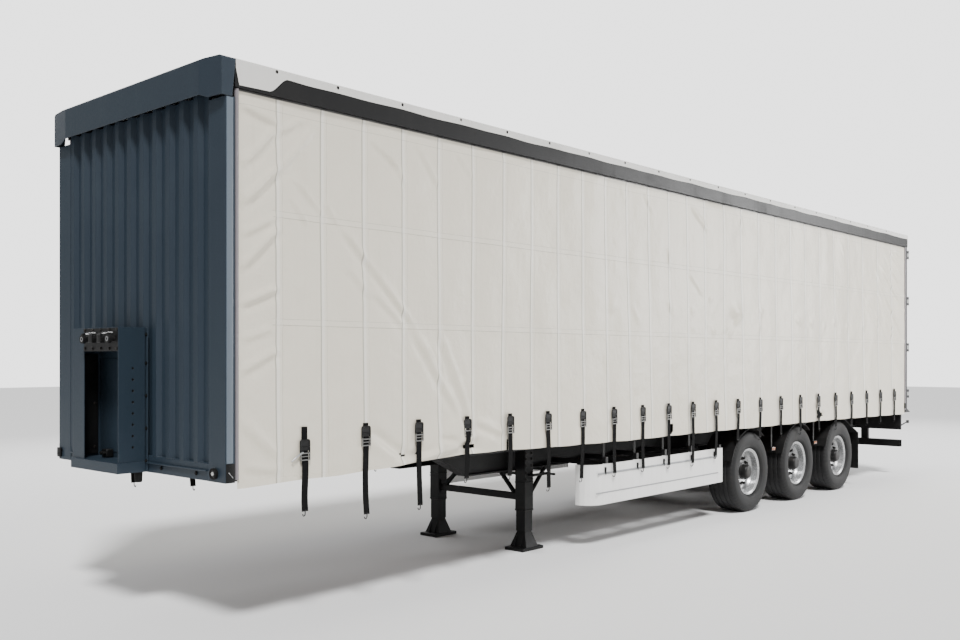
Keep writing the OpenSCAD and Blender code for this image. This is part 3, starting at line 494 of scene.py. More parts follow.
def curtain_cloth():
    """Coated polyester: welded webbing bands up and along, a hem, faint weave, scuffs and dust towards the hem; a
    painted shadow line and a painted highlight strip beside each upright band, and painted shade under the rail.
    """
    m, w, surface, at = start_material("curtain_cloth", Specular_IOR_Level=0.42, Sheen_Weight=0.08)
    xyz = w.xyz(at)
    s = w.minus(FRONT, xyz[0])
    flat = w.xyz(w.node("ShaderNodeUVMap", uv_map="flat").outputs[0])
    up = use(w, BANDS, Along=flat[0], First=0.0, Pitch=1.0, Half_width=0.064, Soft=0.012)
    # band_shadow_line: a painted shadow line along one edge of each upright band.
    band_shadow_line = use(w, BANDS, Along=flat[0], First=-0.066, Pitch=1.0, Half_width=0.009, Soft=0.012)["Inside"]
    # band_highlight: a painted highlight strip inside each upright band, next to the painted shadow line.
    band_highlight = use(w, BANDS, Along=flat[0], First=-0.022, Pitch=1.0, Half_width=0.022, Soft=0.02)["Inside"]
    inner = w.times(w.step(s, 0.40, 0.42), w.step(flat[1], 1.0, 0.995))
    low = use(w, BANDS, Along=xyz[2], First=2.252, Pitch=0.788, Half_width=0.022, Soft=0.004)
    level = w.times(inner, w.times(w.step(xyz[2], 1.7, 1.72), w.step(xyz[2], 3.5, 3.49)))
    across = w.times(low["Inside"], level)
    cross_rim = w.times(low["Rim"], level)
    band = w.math("MAXIMUM", w.times(up["Inside"], inner), w.times(across, 0.6))
    rim = w.math("MAXIMUM", w.times(band_shadow_line, inner), w.times(cross_rim, 0.7))
    patch = w.times(up["Inside"], across)
    hem = w.step(xyz[2], CURTAIN[0].z + 0.045, CURTAIN[0].z + 0.042)
    stitch = w.math("GREATER_THAN", w.math("FRACT", w.times(s, 110.0)), 0.35)
    top_line = w.times(w.step(w.math("ABSOLUTE", w.minus(xyz[2], RAIL_LOW - 0.105)), 0.004, 0.0015), stitch)
    dirty = weathered(w, at, (0.75, 0.70, 0.585), (0.58, 0.53, 0.43), 0.22, 0.16, 0.9)
    low_dust = w.times(w.step(xyz[2], 1.9, 1.05, 0.0, 0.35), w.step(w.noise(at, 4.0, 5.0, 0.6), 0.3, 0.8))
    colour = w.mix(low_dust, dirty["Color"], (0.64, 0.585, 0.475, 1))
    colour = w.mix(w.times(band, 0.35), colour, (0.79, 0.75, 0.65, 1))
    # Darkened lines: the painted shadow line beside each upright band, and dark lines at the edges of the cross
    # bands.
    colour = w.mix(w.times(rim, 0.62), colour, (0.25, 0.235, 0.2, 1))
    # Lighter strip inside each upright band: painted highlight.
    colour = w.mix(w.times(w.times(band_highlight, inner), 0.55), colour, (0.86, 0.84, 0.78, 1))
    colour = w.mix(w.times(patch, 0.18), colour, (0.8, 0.78, 0.72, 1))
    colour = w.mix(w.times(top_line, 0.5), colour, (0.3, 0.28, 0.25, 1))
    # The curtain's top just under the rail is near black: painted shade under the rail.
    colour = w.mix(w.step(xyz[2], RAIL_LOW - 0.022, RAIL_LOW - 0.012), colour, (0.05, 0.05, 0.05, 1))
    w.feed(surface, Base_Color=colour)
    rough = w.plus(w.times_plus(dirty["Mask"], 0.2, 0.35), dirty["Gloss"])
    w.feed(surface, Roughness=rough)
    weave = use(w, WEAVE, Vector=at, Threads=1400.0)["Height"]
    height = w.times_plus(band, 7.0, w.times(weave, 0.25))
    height = w.times_plus(patch, 3.0, height)
    height = w.times_plus(hem, 8.0, height)
    height = w.times_plus(w.noise(at, 5.0, 4.0, 0.55), 30.0, height)
    height = w.times_plus(w.noise(w.place(at, (1.0, 1.0, 0.5)), 26.0, 3.0, 0.5), 3.0, height)
    w.relief(surface, 0.9, 0.0005, height)
    return m


def roof_cloth():
    """White coated cloth with dust lying in soft patches and a faint weave."""
    m, w, surface, at = start_material("roof_cloth", Specular_IOR_Level=0.4)
    dirty = weathered(w, at, (0.72, 0.71, 0.68), (0.46, 0.44, 0.4), 0.3, 0.12, 1.1)
    w.feed(surface, Base_Color=dirty["Color"])
    w.feed(surface, Roughness=w.times_plus(dirty["Mask"], 0.3, 0.45))
    height = w.times_plus(w.noise(at, 7.0, 4.0, 0.6), 10.0, use(w, WEAVE, Vector=at, Threads=1400.0)["Height"])
    w.relief(surface, 0.7, 0.0005, height)
    return m


def webbing():
    """Black woven polyester strap: ribs across, a painted sheen on the raised threads and grey dust caught in the
    weave.
    """
    m, w, surface, at = start_material("strap_webbing", Specular_IOR_Level=0.12)
    dirty = weathered(w, at, (0.003, 0.003, 0.0032), (0.013, 0.012, 0.011), 0.4, 0.2, 6.0)
    weave = use(w, WEAVE, Vector=at, Threads=1800.0)["Height"]
    # The raised threads are lightened: a painted sheen.
    w.feed(surface, Base_Color=w.mix(w.times(weave, 0.4), dirty["Color"], (0.006, 0.006, 0.0062, 1)))
    w.feed(surface, Roughness=w.times_plus(weave, 0.12, 0.74))
    w.relief(surface, 0.8, 0.0006, weave)
    return m


def floor_board():
    """Brown film-faced plywood: a pressed mesh, board joints across the length and pale scuffs along it."""
    m, w, surface, at = start_material("floor_board")
    xyz = w.xyz(at)
    scuff = w.step(w.noise(w.place(at, (0.6, 9.0, 1.0)), 5.0, 6.0, 0.7), 0.5, 0.75)
    joint = use(w, BANDS, Along=xyz[0], First=0.0, Pitch=1.22, Half_width=0.0, Soft=0.004)["Inside"]
    dirty = weathered(w, at, (0.16, 0.085, 0.05), (0.3, 0.24, 0.18), 0.5, 0.0, 2.0)
    colour = w.mix(w.times(scuff, 0.5), dirty["Color"], (0.34, 0.25, 0.17, 1))
    w.feed(surface, Base_Color=w.mix(joint, colour, (0.03, 0.02, 0.015, 1)))
    w.feed(surface, Roughness=w.times_plus(scuff, 0.25, 0.5))
    press = w.node("ShaderNodeTexVoronoi", {"Vector": at, "Scale": 260.0}).outputs["Distance"]
    w.relief(surface, 0.6, 0.0008, w.minus(press, joint))
    return m


def planed_wood():
    """Pale planed slats: long wavy grain lines run along the length over a warm base."""
    m, w, surface, at = start_material("planed_wood")
    grain = w.noise(w.place(at, (0.7, 22.0, 22.0)), 5.0, 6.0, 0.6)
    pore = w.noise(w.place(at, (3.0, 160.0, 160.0)), 8.0, 3.0, 0.6)
    colour = w.mix(w.step(grain, 0.3, 0.7), (0.5, 0.36, 0.2, 1), (0.34, 0.22, 0.11, 1))
    w.feed(surface, Base_Color=w.mix(w.step(pore, 0.6, 0.75, 0.0, 0.5), colour, (0.2, 0.13, 0.07, 1)))
    w.feed(surface, Roughness=w.step(grain, 0.2, 0.8, 0.5, 0.65))
    w.relief(surface, 0.4, 0.0006, pore)
    return m


def tyre_rubber():
    """Black rubber greyed by road dust, with a fine pebble."""
    m, w, surface, at = start_material("tyre_rubber", Specular_IOR_Level=0.35)
    dirty = weathered(w, at, (0.0085, 0.0085, 0.009), (0.026, 0.0245, 0.022), 0.5, 0.12, 5.0)
    speck = w.step(w.noise(at, 160.0, 3.0, 0.6), 0.5, 0.75, 0.0, 0.25)
    w.feed(surface, Base_Color=w.mix(speck, dirty["Color"], (0.024, 0.023, 0.022, 1)))
    w.feed(surface, Roughness=w.times_plus(dirty["Mask"], 0.2, 0.62))
    w.relief(surface, 0.5, 0.0006, w.noise(at, 300.0, 3.0, 0.6))
    return m


def lens(name, colour, glow=0.0, cells=220.0):
    """Moulded lamp lens: a clear tinted coat over a grid of small prisms."""
    m, w, surface, at = start_material(name, Roughness=0.12, Coat_Weight=0.6, Coat_Roughness=0.05,
            Transmission_Weight=0.25,
                                       IOR=1.45, Emission_Strength=glow)
    cell = w.node("ShaderNodeTexVoronoi", {"Vector": at, "Scale": cells}, feature="SMOOTH_F1").outputs["Distance"]
    dark = tuple(c * 0.45 for c in colour) + (1,)
    w.feed(surface, Base_Color=w.mix(w.step(cell, 0.2, 0.6), (*colour, 1), dark))
    surface.inputs["Emission Color"].default_value = (*colour, 1)
    w.relief(surface, 0.4, 0.001, cell)
    return m


def guard_panel():
    """White painted panel with dust and streaks; the posts that stand above the panel's top edge are black."""
    m = coated("guard_white", (0.86, 0.855, 0.84), dirt=(0.58, 0.56, 0.51), rough=0.34, dust=0.2, streaks=0.25,
               scale=2.0, wear=0.1)
    w = Wire(m.node_tree)
    surface = m.node_tree.nodes["Principled BSDF"]
    painted = surface.inputs["Base Color"].links[0].from_socket
    height = w.xyz(w.node("ShaderNodeTexCoord").outputs["Object"])[2]
    above = w.math("GREATER_THAN", height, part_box("side_guards")[1].z - 0.069)
    w.feed(surface, Base_Color=w.mix(above, painted, (0.003, 0.003, 0.0034, 1)))
    return m


DUST = (0.22, 0.2, 0.17)
front_paint = coated("front_paint", (0.0185, 0.0300, 0.0435), dirt=(0.036, 0.050, 0.066), rough=0.46, dust=0.25,
                     streaks=0.2, spec=0.28, scale=1.3, wear=0.25, bare=(0.08, 0.09, 0.10), ease=0.006)
cap_paint = coated("cap_paint", (0.0210, 0.0320, 0.0450), dirt=(0.04, 0.053, 0.066), spec=0.32, rough=0.42,
                   dust=0.25, streaks=0.3, scale=1.6, wear=0.3, bare=(0.09, 0.10, 0.11), ease=0.008)
# A lighter copy of the front paint: painted light on the corner posts' side face.
lit_side_paint = coated("lit_side_paint", (0.115, 0.145, 0.18), dirt=(0.08, 0.09, 0.10), rough=0.32, dust=0.2,
                     streaks=0.4, ease=0.004)
chassis_paint = coated("chassis_paint", (0.0030, 0.0031, 0.0034), dirt=(0.022, 0.020, 0.018), spec=0.26, rough=0.5,
                       dust=0.1, streaks=0.06, scale=2.6, wear=0.3, bare=(0.05, 0.045, 0.04))
under_paint = coated("under_paint", (0.006, 0.0062, 0.0068), dirt=(0.045, 0.038, 0.032), spec=0.3, rough=0.55,
                     dust=0.3, streaks=0.1, scale=3.0, wear=0.3, bare=(0.12, 0.08, 0.06))
rail_paint = coated("rail_paint", (0.0060, 0.0060, 0.0064), dirt=(0.016, 0.015, 0.014), spec=0.3, rough=0.42,
                    dust=0.25, streaks=0.25, scale=2.2, wear=0.2, ease=0.004)
rear_paint = coated("rear_paint", (0.008, 0.0085, 0.0095), dirt=(0.045, 0.04, 0.035), spec=0.35, rough=0.42,
                    dust=0.25, streaks=0.3, wear=0.35)
plate_steel = coated("plate_steel", (0.07, 0.068, 0.066), dirt=(0.02, 0.018, 0.015), rough=0.35, dust=0.6,
                     streaks=0.0, scale=5.0, metal=0.7, wear=0.5)
pin_steel = coated("pin_steel", (0.42, 0.41, 0.4), dirt=(0.05, 0.04, 0.03), rough=0.28, dust=0.4, streaks=0.1,
                   scale=9.0, metal=1.0)
zinc = coated("zinc_steel", (0.5, 0.51, 0.52), dirt=(0.22, 0.21, 0.2), rough=0.34, dust=0.35, streaks=0.2,
              scale=8.0, metal=0.95, ease=0.002, grain=500.0)
aluminium = coated("aluminium", (0.56, 0.57, 0.58), dirt=(0.25, 0.24, 0.22), rough=0.38, dust=0.3, streaks=0.3,
                   scale=2.5, metal=0.85, grain=400.0)
door_skin = coated("door_skin", (0.6, 0.61, 0.6), dirt=(0.35, 0.33, 0.3), rough=0.36, dust=0.3, streaks=0.4,
                   scale=1.4, metal=0.35)
rim_silver = coated("rim_silver", (0.46, 0.465, 0.47), dirt=(0.1, 0.085, 0.07), rough=0.26, dust=0.3, streaks=0.0,
                    scale=7.0, metal=0.55, ease=0.003)
guard_white = guard_panel()
plate_white = coated("plate_white", (0.8, 0.8, 0.79), dirt=(0.5, 0.48, 0.44), rough=0.34, dust=0.2, streaks=0.2)
# Grey for the lines along the side guard: painted groove shade.
groove_shade_grey = coated("groove_shade_grey", (0.3, 0.31, 0.32), dirt=DUST, rough=0.4, dust=0.25, streaks=0.2, metal=0.4)
black_plastic = coated("black_plastic", (0.004, 0.004, 0.0043), dirt=(0.022, 0.020, 0.018), spec=0.3, rough=0.5,
                       dust=0.3, streaks=0.1, scale=6.0, grain=500.0, lift=0.0003)
mudguard_plastic = coated("mudguard_plastic", (0.005, 0.005, 0.0052), dirt=(0.03, 0.027, 0.024), spec=0.3,
                          rough=0.52, dust=0.4, streaks=0.2, scale=4.0, grain=180.0, lift=0.0005)
rubber = coated("black_rubber", (0.004, 0.004, 0.004), dirt=(0.020, 0.019, 0.017), rough=0.68, dust=0.35,
                streaks=0.1, scale=8.0, grain=300.0, lift=0.0004, spec=0.2)
nut_dark = coated("nut_dark", (0.018, 0.017, 0.016), dirt=(0.05, 0.035, 0.026), rough=0.4, dust=0.4, streaks=0.0,
                  scale=20.0, metal=0.6, ease=0.002)
amber_lens = lens("amber_lens", (0.55, 0.15, 0.02), 0.0)
red_lens = lens("red_lens", (0.6, 0.01, 0.01), 0.05)
clear_lens = lens("clear_lens", (0.85, 0.86, 0.84), 0.05)
buckle_steel = coated("buckle_steel", (0.24, 0.24, 0.235), dirt=(0.1, 0.09, 0.08), rough=0.4, dust=0.4, streaks=0.0,
                      scale=20.0, metal=0.8, ease=0.002)
chrome = coated("chrome", (0.75, 0.76, 0.77), dirt=(0.3, 0.3, 0.3), rough=0.12, dust=0.15, streaks=0.1, scale=9.0,
                metal=1.0)
hub_paint = coated("hub_paint", (0.007, 0.0068, 0.0068), dirt=(0.035, 0.028, 0.022), spec=0.35, rough=0.42,
                   dust=0.4, streaks=0.0, scale=12.0)
pole_paint = coated("pole_paint", (0.24, 0.22, 0.235), dirt=(0.2, 0.19, 0.18), rough=0.4, dust=0.3, streaks=0.3,
                    metal=0.3)
curtain_skin, roof_skin, strap_cloth = curtain_cloth(), roof_cloth(), webbing()
board, slat_wood, tyre_skin = floor_board(), planed_wood(), tyre_rubber()

finishes = [
    (chassis_paint, "main_beams side_rails underride_bumper landing_legs landing_brace air_tanks guard_brackets"),
    (under_paint, "crossmembers axles trailing_arms"),
    (board, "load_floor"),
    (plate_steel, "coupler_plate"),
    (pin_steel, "kingpin"),
    (front_paint, "front_wall front_corner_posts connector_box"),
    (cap_paint, "front_header_cap"),
    (black_plastic, "air_couplings lamps"),
    (rail_paint, "roof_rails"),
    (aluminium, "roof_bows side_posts"),
    (slat_wood, "side_slats"),
    (rear_paint, "rear_frame"),
    (door_skin, "rear_door_left rear_door_right"),
    (zinc, "lock_bars_left lock_bars_right"),
    (guard_white, "side_guards"),
    (mudguard_plastic, "mudguards"),
    (rubber, "air_springs"),
    (rim_silver, "rim_1_left rim_1_right rim_2_left rim_2_right rim_3_left rim_3_right"),
]
for material, nodes in finishes:
    for node in nodes.split():
        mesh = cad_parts[node].data
        mesh.materials.clear()
        mesh.materials.append(material)


# ---- curtains ----
BANDS_AT = np.array([0.053, 0.47, 0.885, 1.30, 1.725, 2.15, 2.575, 2.985, 3.405, 3.815, 4.225, 4.65, 5.06, 5.48,
                     5.895, 6.305, 6.70,
                     7.18, 7.65, 8.12, 8.62, 9.08, 9.52, 10.01, 10.53, 11.07, 11.67, 12.30, 12.90, 13.62])
BUCKLES = np.array([0.69, 1.285, 1.88, 2.475, 3.06, 3.625, 4.19, 4.745, 5.29, 5.834, 6.374, 6.926, 7.487, 8.084,
                    8.697, 9.312,
                    9.916, 10.534, 11.137, 11.745, 12.342, 12.968])
HEM = np.array([(0.0, 1.066), (0.5, 1.08), (1.0, 1.085), (1.5, 1.10), (2.0, 1.124), (2.4, 1.14), (2.9, 1.142),
                (3.1, 1.135),
                (3.5, 1.125), (4.0, 1.118), (5.0, 1.105), (7.0, 1.097), (9.0, 1.084), (10.0, 1.079), (11.0, 1.066),
                (12.0, 1.053),
                (13.0, 1.037), (13.6, 1.03)])
S0, S1 = FRONT - CURTAIN[1].x, FRONT - CURTAIN[0].x
CURTAIN_COLUMNS, CURTAIN_ROWS = 560, 168
CURTAIN_MID = (CURTAIN[0].y + CURTAIN[1].y) / 2


def crease(s, z, a, b, wide, high):
    """A fold from a to b: a bell across the line with a shallow trough beside it, fading out at both ends."""
    run = np.subtract(b, a)
    length = np.hypot(*run)
    t = ((s - a[0]) * run[0] + (z - a[1]) * run[1]) / length**2
    d = ((s - a[0]) * run[1] - (z - a[1]) * run[0]) / length
    fade = smooth((t + 0.12) / 0.35) * smooth((1.12 - t) / 0.35)
    return high * fade * (np.exp(-(d / wide)**2) - 0.6 * np.exp(-((d - 1.5 * wide) / (1.2 * wide))**2))


def dent(s, z, at, wide, tall, high, lean=0.0):
    """A soft bump or hollow: a bell of two widths, leaning by lean metres in s for each metre of z."""
    ds = (s - at[0]) - lean * (z - at[1])
    return high * np.exp(-(ds / wide)**2 - ((z - at[1]) / tall)**2)


CREASES = [
    # leading edge, where the pole pulls the cloth
    ((0.14, 3.78), (0.46, 3.70), 0.030, 0.013), ((0.14, 3.35), (0.44, 3.66), 0.034, 0.014),
    ((0.14, 3.08), (0.48, 3.40), 0.034, 0.016), ((0.14, 2.86), (0.44, 3.02), 0.028, 0.010),
    ((0.13, 2.62), (0.46, 2.94), 0.032, 0.015), ((0.13, 2.37), (0.46, 2.50), 0.030, 0.014),
    ((0.13, 1.89), (0.46, 2.05), 0.034, 0.012), ((0.14, 2.12), (0.40, 2.20), 0.030, 0.008),
    ((0.14, 1.55), (0.44, 1.28), 0.045, 0.010), ((0.16, 1.22), (0.46, 1.17), 0.035, 0.008),
    # top, near the front
    ((0.47, 3.64), (0.70, 3.78), 0.028, 0.010), ((0.48, 3.36), (0.80, 3.72), 0.034, 0.010),
    ((0.62, 3.32), (0.88, 3.08), 0.024, 0.010), ((0.58, 3.18), (0.74, 2.98), 0.024, 0.007),
    ((1.36, 3.74), (1.68, 3.54), 0.026, 0.008), ((1.52, 3.70), (1.76, 3.40), 0.024, 0.007),
    ((1.88, 3.78), (2.14, 3.46), 0.026, 0.010), ((2.36, 3.78), (2.56, 3.58), 0.022, 0.006),
    # the long pull from the top of the front down to the gathered hem
    ((0.90, 3.18), (1.02, 3.02), 0.026, 0.010), ((1.08, 3.00), (1.34, 2.74), 0.030, 0.013),
    ((1.30, 2.78), (1.82, 2.27), 0.028, 0.014), ((1.38, 2.52), (1.72, 2.26), 0.030, 0.009),
    ((1.14, 2.70), (1.36, 2.46), 0.028, 0.007), ((1.84, 2.22), (2.42, 1.48), 0.036, 0.017),
    ((2.14, 2.22), (2.52, 1.48), 0.034, 0.014), ((2.02, 2.02), (2.46, 1.44), 0.030, -0.010),
    # the gathered hem
    ((1.36, 1.40), (1.76, 1.16), 0.045, -0.016), ((1.90, 1.13), (2.62, 1.30), 0.040, 0.020),
    ((2.14, 1.30), (2.66, 1.17), 0.034, -0.016), ((2.60, 1.43), (2.98, 1.30), 0.036, 0.015),
    ((2.42, 1.50), (2.60, 1.22), 0.032, -0.012), ((1.60, 1.16), (2.10, 1.20), 0.030, -0.010),
    # along the top
    ((4.90, 3.80), (5.09, 3.60), 0.022, 0.006), ((5.34, 3.80), (5.51, 3.60), 0.022, 0.006),
    ((5.82, 3.26), (5.90, 2.96), 0.022, 0.008), ((6.36, 3.76), (6.72, 3.52), 0.032, 0.010),
    ((7.54, 3.82), (7.71, 3.50), 0.026, 0.008), ((7.88, 3.74), (8.02, 3.54), 0.022, 0.006),
    ((6.30, 2.98), (6.60, 2.74), 0.024, 0.007), ((7.52, 2.50), (7.26, 2.24), 0.030, 0.010),
    ((9.02, 3.78), (9.16, 3.56), 0.024, 0.006), ((10.66, 3.78), (10.86, 3.54), 0.024, 0.006),
    # fan of folds into the top rear corner
    ((12.76, 3.78), (13.44, 3.34), 0.032, 0.013), ((12.98, 3.80), (13.50, 3.60), 0.024, 0.011),
    ((12.60, 3.66), (13.46, 3.02), 0.030, 0.012), ((12.34, 3.50), (13.48, 2.76), 0.034, 0.013),
    ((12.20, 3.36), (13.42, 2.26), 0.036, 0.014), ((12.30, 3.04), (13.38, 2.00), 0.034, 0.012),
    ((12.44, 2.78), (13.40, 1.88), 0.034, 0.012), ((11.68, 2.98), (12.82, 2.08), 0.034, 0.009),
    ((12.10, 2.76), (12.50, 2.40), 0.028, 0.008), ((12.90, 2.20), (13.42, 1.62), 0.034, 0.009),
    ((9.80, 1.38), (10.20, 1.18), 0.034, 0.007),
]
DENTS = [
    ((4.74, 2.53), 0.055, 0.060, 0.011, 0.3), ((5.18, 2.46), 0.040, 0.075, 0.008, -0.6),
         ((5.89, 2.57), 0.045, 0.080, 0.010, -0.5),
    ((6.38, 2.54), 0.040, 0.050, 0.009, 0.0), ((6.40, 2.34), 0.035, 0.045, 0.007, -0.3),
         ((6.80, 2.70), 0.050, 0.045, 0.009, 0.4),
    ((6.71, 2.52), 0.030, 0.050, -0.006, 0.0), ((6.87, 2.32), 0.045, 0.045, 0.010, -0.4),
         ((7.46, 2.57), 0.110, 0.090, 0.021, -0.5),
    ((7.34, 2.42), 0.090, 0.080, -0.014, -0.5), ((8.14, 2.60), 0.050, 0.055, 0.009, -0.3),
         ((8.08, 2.38), 0.045, 0.050, 0.008, 0.3),
    ((8.20, 2.50), 0.040, 0.050, -0.007, 0.0), ((9.24, 2.50), 0.060, 0.060, 0.011, -0.4),
         ((9.70, 2.48), 0.045, 0.060, 0.009, -0.3),
    ((10.13, 2.45), 0.040, 0.050, 0.007, 0.0), ((10.49, 2.52), 0.045, 0.055, 0.009, 0.0),
         ((11.01, 2.47), 0.050, 0.050, 0.008, 0.2),
    ((11.66, 2.49), 0.060, 0.060, 0.008, 0.0), ((3.60, 2.30), 0.200, 0.300, 0.006, 0.0),
         ((2.30, 1.32), 0.260, 0.110, 0.016, 0.3),
    ((2.78, 1.26), 0.160, 0.090, 0.015, 0.0), ((1.30, 1.60), 0.350, 0.300, 0.006, 0.2),
]


def billow(s, z, seed):
    """Slow unevenness: a sum of long waves with seeded directions and phases."""
    waves = np.random.default_rng(seed)
    out = np.zeros(np.broadcast(s, z).shape)
    for size, high in ((2.8, 0.0035), (1.3, 0.0022), (0.7, 0.0012), (0.42, 0.0008)):
        for _ in range(3):
            turn, phase = waves.uniform(-0.9, 0.9), waves.uniform(0, 2 * np.pi)
            out += high * np.sin(2 * np.pi * (s * np.cos(turn) + z * np.sin(turn)) / size + phase)
    return out


def band_phase(s, z):
    """Counts the sewn bands: a whole number on each middle line, which leans forward with height at the rear."""
    lean = 0.06 * smooth((s - 3.5) / 2.0) * (z - 2.2) / 2.2
    return np.interp(s + lean, BANDS_AT, np.arange(-1, len(BANDS_AT) - 1))


def curtain_out(s, z, seed=3):
    """How far the cloth stands out from its own plane: folds, dents, slow waves, and a pull at each strap."""
    out = billow(s, z, seed)
    for a, b, wide, high in CREASES:
        out = out + crease(s, z, a, b, wide, 1.35 * high)
    for at, wide, tall, high, lean in DENTS:
        out = out + dent(s, z, at, wide, tall, 1.35 * high, lean)
    near = np.exp(-(np.min(np.abs(s[..., None] - BUCKLES), axis=-1) / 0.11)**2)
    pull = smooth((1.85 - z) / 0.6)
    out = out + pull * (0.006 * (1 - near) - 0.002 * near)
    panel = np.cos(2 * np.pi * band_phase(s, z))
    out = out + 0.0045 * (0.5 - 0.5 * panel) * (0.8 + 0.5 * np.sin(s * 2.3 + z))
    ends = smooth((s - S0) / 0.05) * smooth((S1 - s) / 0.05) * smooth((RAIL_LOW - z) / 0.10)
    return np.clip(out, -0.010, 0.026) * ends


def hem_height(s):
    """The lower edge: lifted where the cloth is gathered, dropping to the rear, with low waves between straps."""
    near = np.min(np.abs(s[..., None] - BUCKLES), axis=-1)
    return np.interp(s, *HEM.T) - 0.004 * smooth(near / 0.28)


def make_curtain(side, name, node, seed):
    """A grid over the curtain's length and height: x from s, z from the hem to the rail, y from the folds."""
    u = np.linspace(0, 1, CURTAIN_COLUMNS)
    s = S0 + (S1 - S0) * (0.62 * u + 0.38 * (0.5 - 0.5 * np.cos(np.pi * u)))
    v = np.linspace(0, 1, CURTAIN_ROWS)
    low = hem_height(s)[:, None]
    z = low + (RAIL_LOW - 0.002 - low) * v[None]
    s = np.broadcast_to(s[:, None], z.shape)
    y = CURTAIN_MID + curtain_out(s, z, seed)
    verts = np.stack([back(s), side * y, z], -1).reshape(-1, 3)
    quads = grid_quads(CURTAIN_COLUMNS, CURTAIN_ROWS)
    quads = quads if side > 0 else quads[:, ::-1]
    uv = np.stack([band_phase(s, z), (z - CURTAIN[0].z) / (RAIL_LOW - CURTAIN[0].z)], -1).reshape(-1, 2)
    piece = put(name, (verts, quads, []), curtain_skin, uv=uv, angle=180)
    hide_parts(node)
    return piece


make_curtain(1, "curtain_skin_left", "curtain_left", 3)
make_curtain(-1, "curtain_skin_right", "curtain_right", 11)


# ---- roof tarpaulin ----
EYELETS = np.array([0.43, 1.0, 1.68, 2.38, 3.0, 3.63, 4.28, 4.93, 5.6, 6.28, 6.95, 7.64, 8.35, 9.1, 9.8, 10.5,
                    11.05, 11.75, 12.55])
BOWS = FRONT - np.linspace(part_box("roof_bows")[0].x + 0.02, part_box("roof_bows")[1].x - 0.02, 9)
ROOF_TOP, ROOF_EDGE, BAND_LOW = ROOF[1].z, ROOF[1].z - 0.018, ROOF[0].z


def roof_hem(s):
    """The side band's lower edge: a flap at the front that rises to the level, then low waves between the eyelets."""
    flap = 0.118 * smooth((s - 0.085) / 0.02) * smooth((0.53 - s) / 0.17)
    near = np.min(np.abs(s[:, None] - EYELETS[None]), axis=1)
    return BAND_LOW - flap - 0.005 * smooth(near / 0.32) + 0.002 * np.sin(5.1 * s)


def make_roof():
    """A grid along and across: up the side band, round the shoulder, over the camber and down, with sag."""
    s = np.concatenate([np.linspace(FRONT - ROOF[1].x, 0.62, 40), np.linspace(0.65, FRONT - ROOF[0].x, 260)])
    low = roof_hem(s)[:, None]
    v = np.linspace(0, 1, 8)[None]
    turn = np.linspace(0, np.pi / 2, 6)[None]
    r = 0.014
    side_z = low + (ROOF_EDGE - r - low) * v
    side_y = ROOF[1].y + 0.003 + 0.0025 * np.sin(3.3 * s[:, None]) * (1 - v) + 0 * side_z
    arc_y = ROOF[1].y + 0.003 - r + r * np.cos(turn) + 0 * low
    arc_z = ROOF_EDGE - r + r * np.sin(turn) + 0 * low
    across = np.linspace(1, -1, 44)[None, 1:-1]
    near = np.min(np.abs(s[:, None] - BOWS[None]), axis=1)[:, None]
    sag = 0.010 * smooth(near / 0.7) * (1 - across**2) + 0.0012 * np.sin(9 * s[:, None] + 5 * across)
    top_y = across * (ROOF[1].y - r) + 0 * low
    top_z = ROOF_EDGE + (ROOF_TOP - ROOF_EDGE) * (1 - np.abs(across)) - sag
    y = np.concatenate([side_y, arc_y[:, 1:], top_y, -arc_y[:, ::-1], -side_y[:, -2::-1]], 1)
    z = np.concatenate([side_z, arc_z[:, 1:], top_z, arc_z[:, ::-1], side_z[:, -2::-1]], 1)
    x = np.broadcast_to(back(s)[:, None], y.shape)
    quads = grid_quads(len(s), y.shape[1])
    piece = put("roof_tarpaulin", (np.stack([x, y, z], -1).reshape(-1, 3), quads, []), roof_skin,
                angle=60)
    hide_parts("roof_sheet")
    ring = turned([(0.006, 0.0), (0.006, 0.002), (0.011, 0.002), (0.013, 0.0)], (0, 0, 0), (0, 1, 0), 16)
    rings = repeat(ring, np.stack([back(EYELETS), np.full(len(EYELETS), ROOF[1].y + 0.0035),
            np.full(len(EYELETS), BAND_LOW + 0.040)], -1))
    eyelets = put("roof_eyelets", both(rings), nut_dark)


make_roof()


# ---- straps and buckles ----
STRAP_ENDS = np.array([0.845, 0.752, 0.757, 0.930, 0.900, 0.736, 0.775, 0.776, 0.781, 0.774, 0.756,
                       0.800] + [0.960] * 10)
STRAP_Y = HALF - 0.013
BUCKLE_DROP = 0.016 * smooth((BUCKLES - 7.0) / 5.0)
BUCKLE_DROP[0] = 0.070
HOOK_BEND = curve([(0, 0, 0.012), (0, 0.003, -0.014), (0, -0.004, -0.034), (0, -0.020, -0.040),
                   (0, -0.028, -0.026)], 12)


def clear_of_cloth(s, z):
    """How far out a strap lies: its own plane, or just in front of the cloth where the cloth stands prouder."""
    cloth = np.where(z > hem_height(s) - 0.01, CURTAIN_MID + curtain_out(s, z) + 0.003, 0.0)
    return np.maximum(STRAP_Y, cloth)


def strap(k):
    """Webbing carried down from a buckle: a slow sway along the side and a slight belly outwards."""
    u = np.linspace(0, 1, 22)
    top = 1.385 - BUCKLE_DROP[k]
    z = top + (STRAP_ENDS[k] - top) * u
    sway = rng.uniform(-0.020, 0.020)
    s = BUCKLES[k] + sway * u**2 + 0.004 * np.sin(6 * u + k)
    y = clear_of_cloth(s, z) + 0.002 + 0.004 * np.sin(np.pi * np.clip(1.2 * u, 0, 1))
    web = swept(rounded(0.060, 0.003, 0.001, 2), np.stack([back(s), y, z], -1), (1, 0, 0))
    end = np.array([back(s[-1]), y[-1], z[-1]])
    hook = tube(end + HOOK_BEND, 0.004, 8)
    bar = rod(end + (-0.028, 0, 0.002), end + (0.028, 0, 0.002), 0.005, 10)
    return web, join([hook, bar])


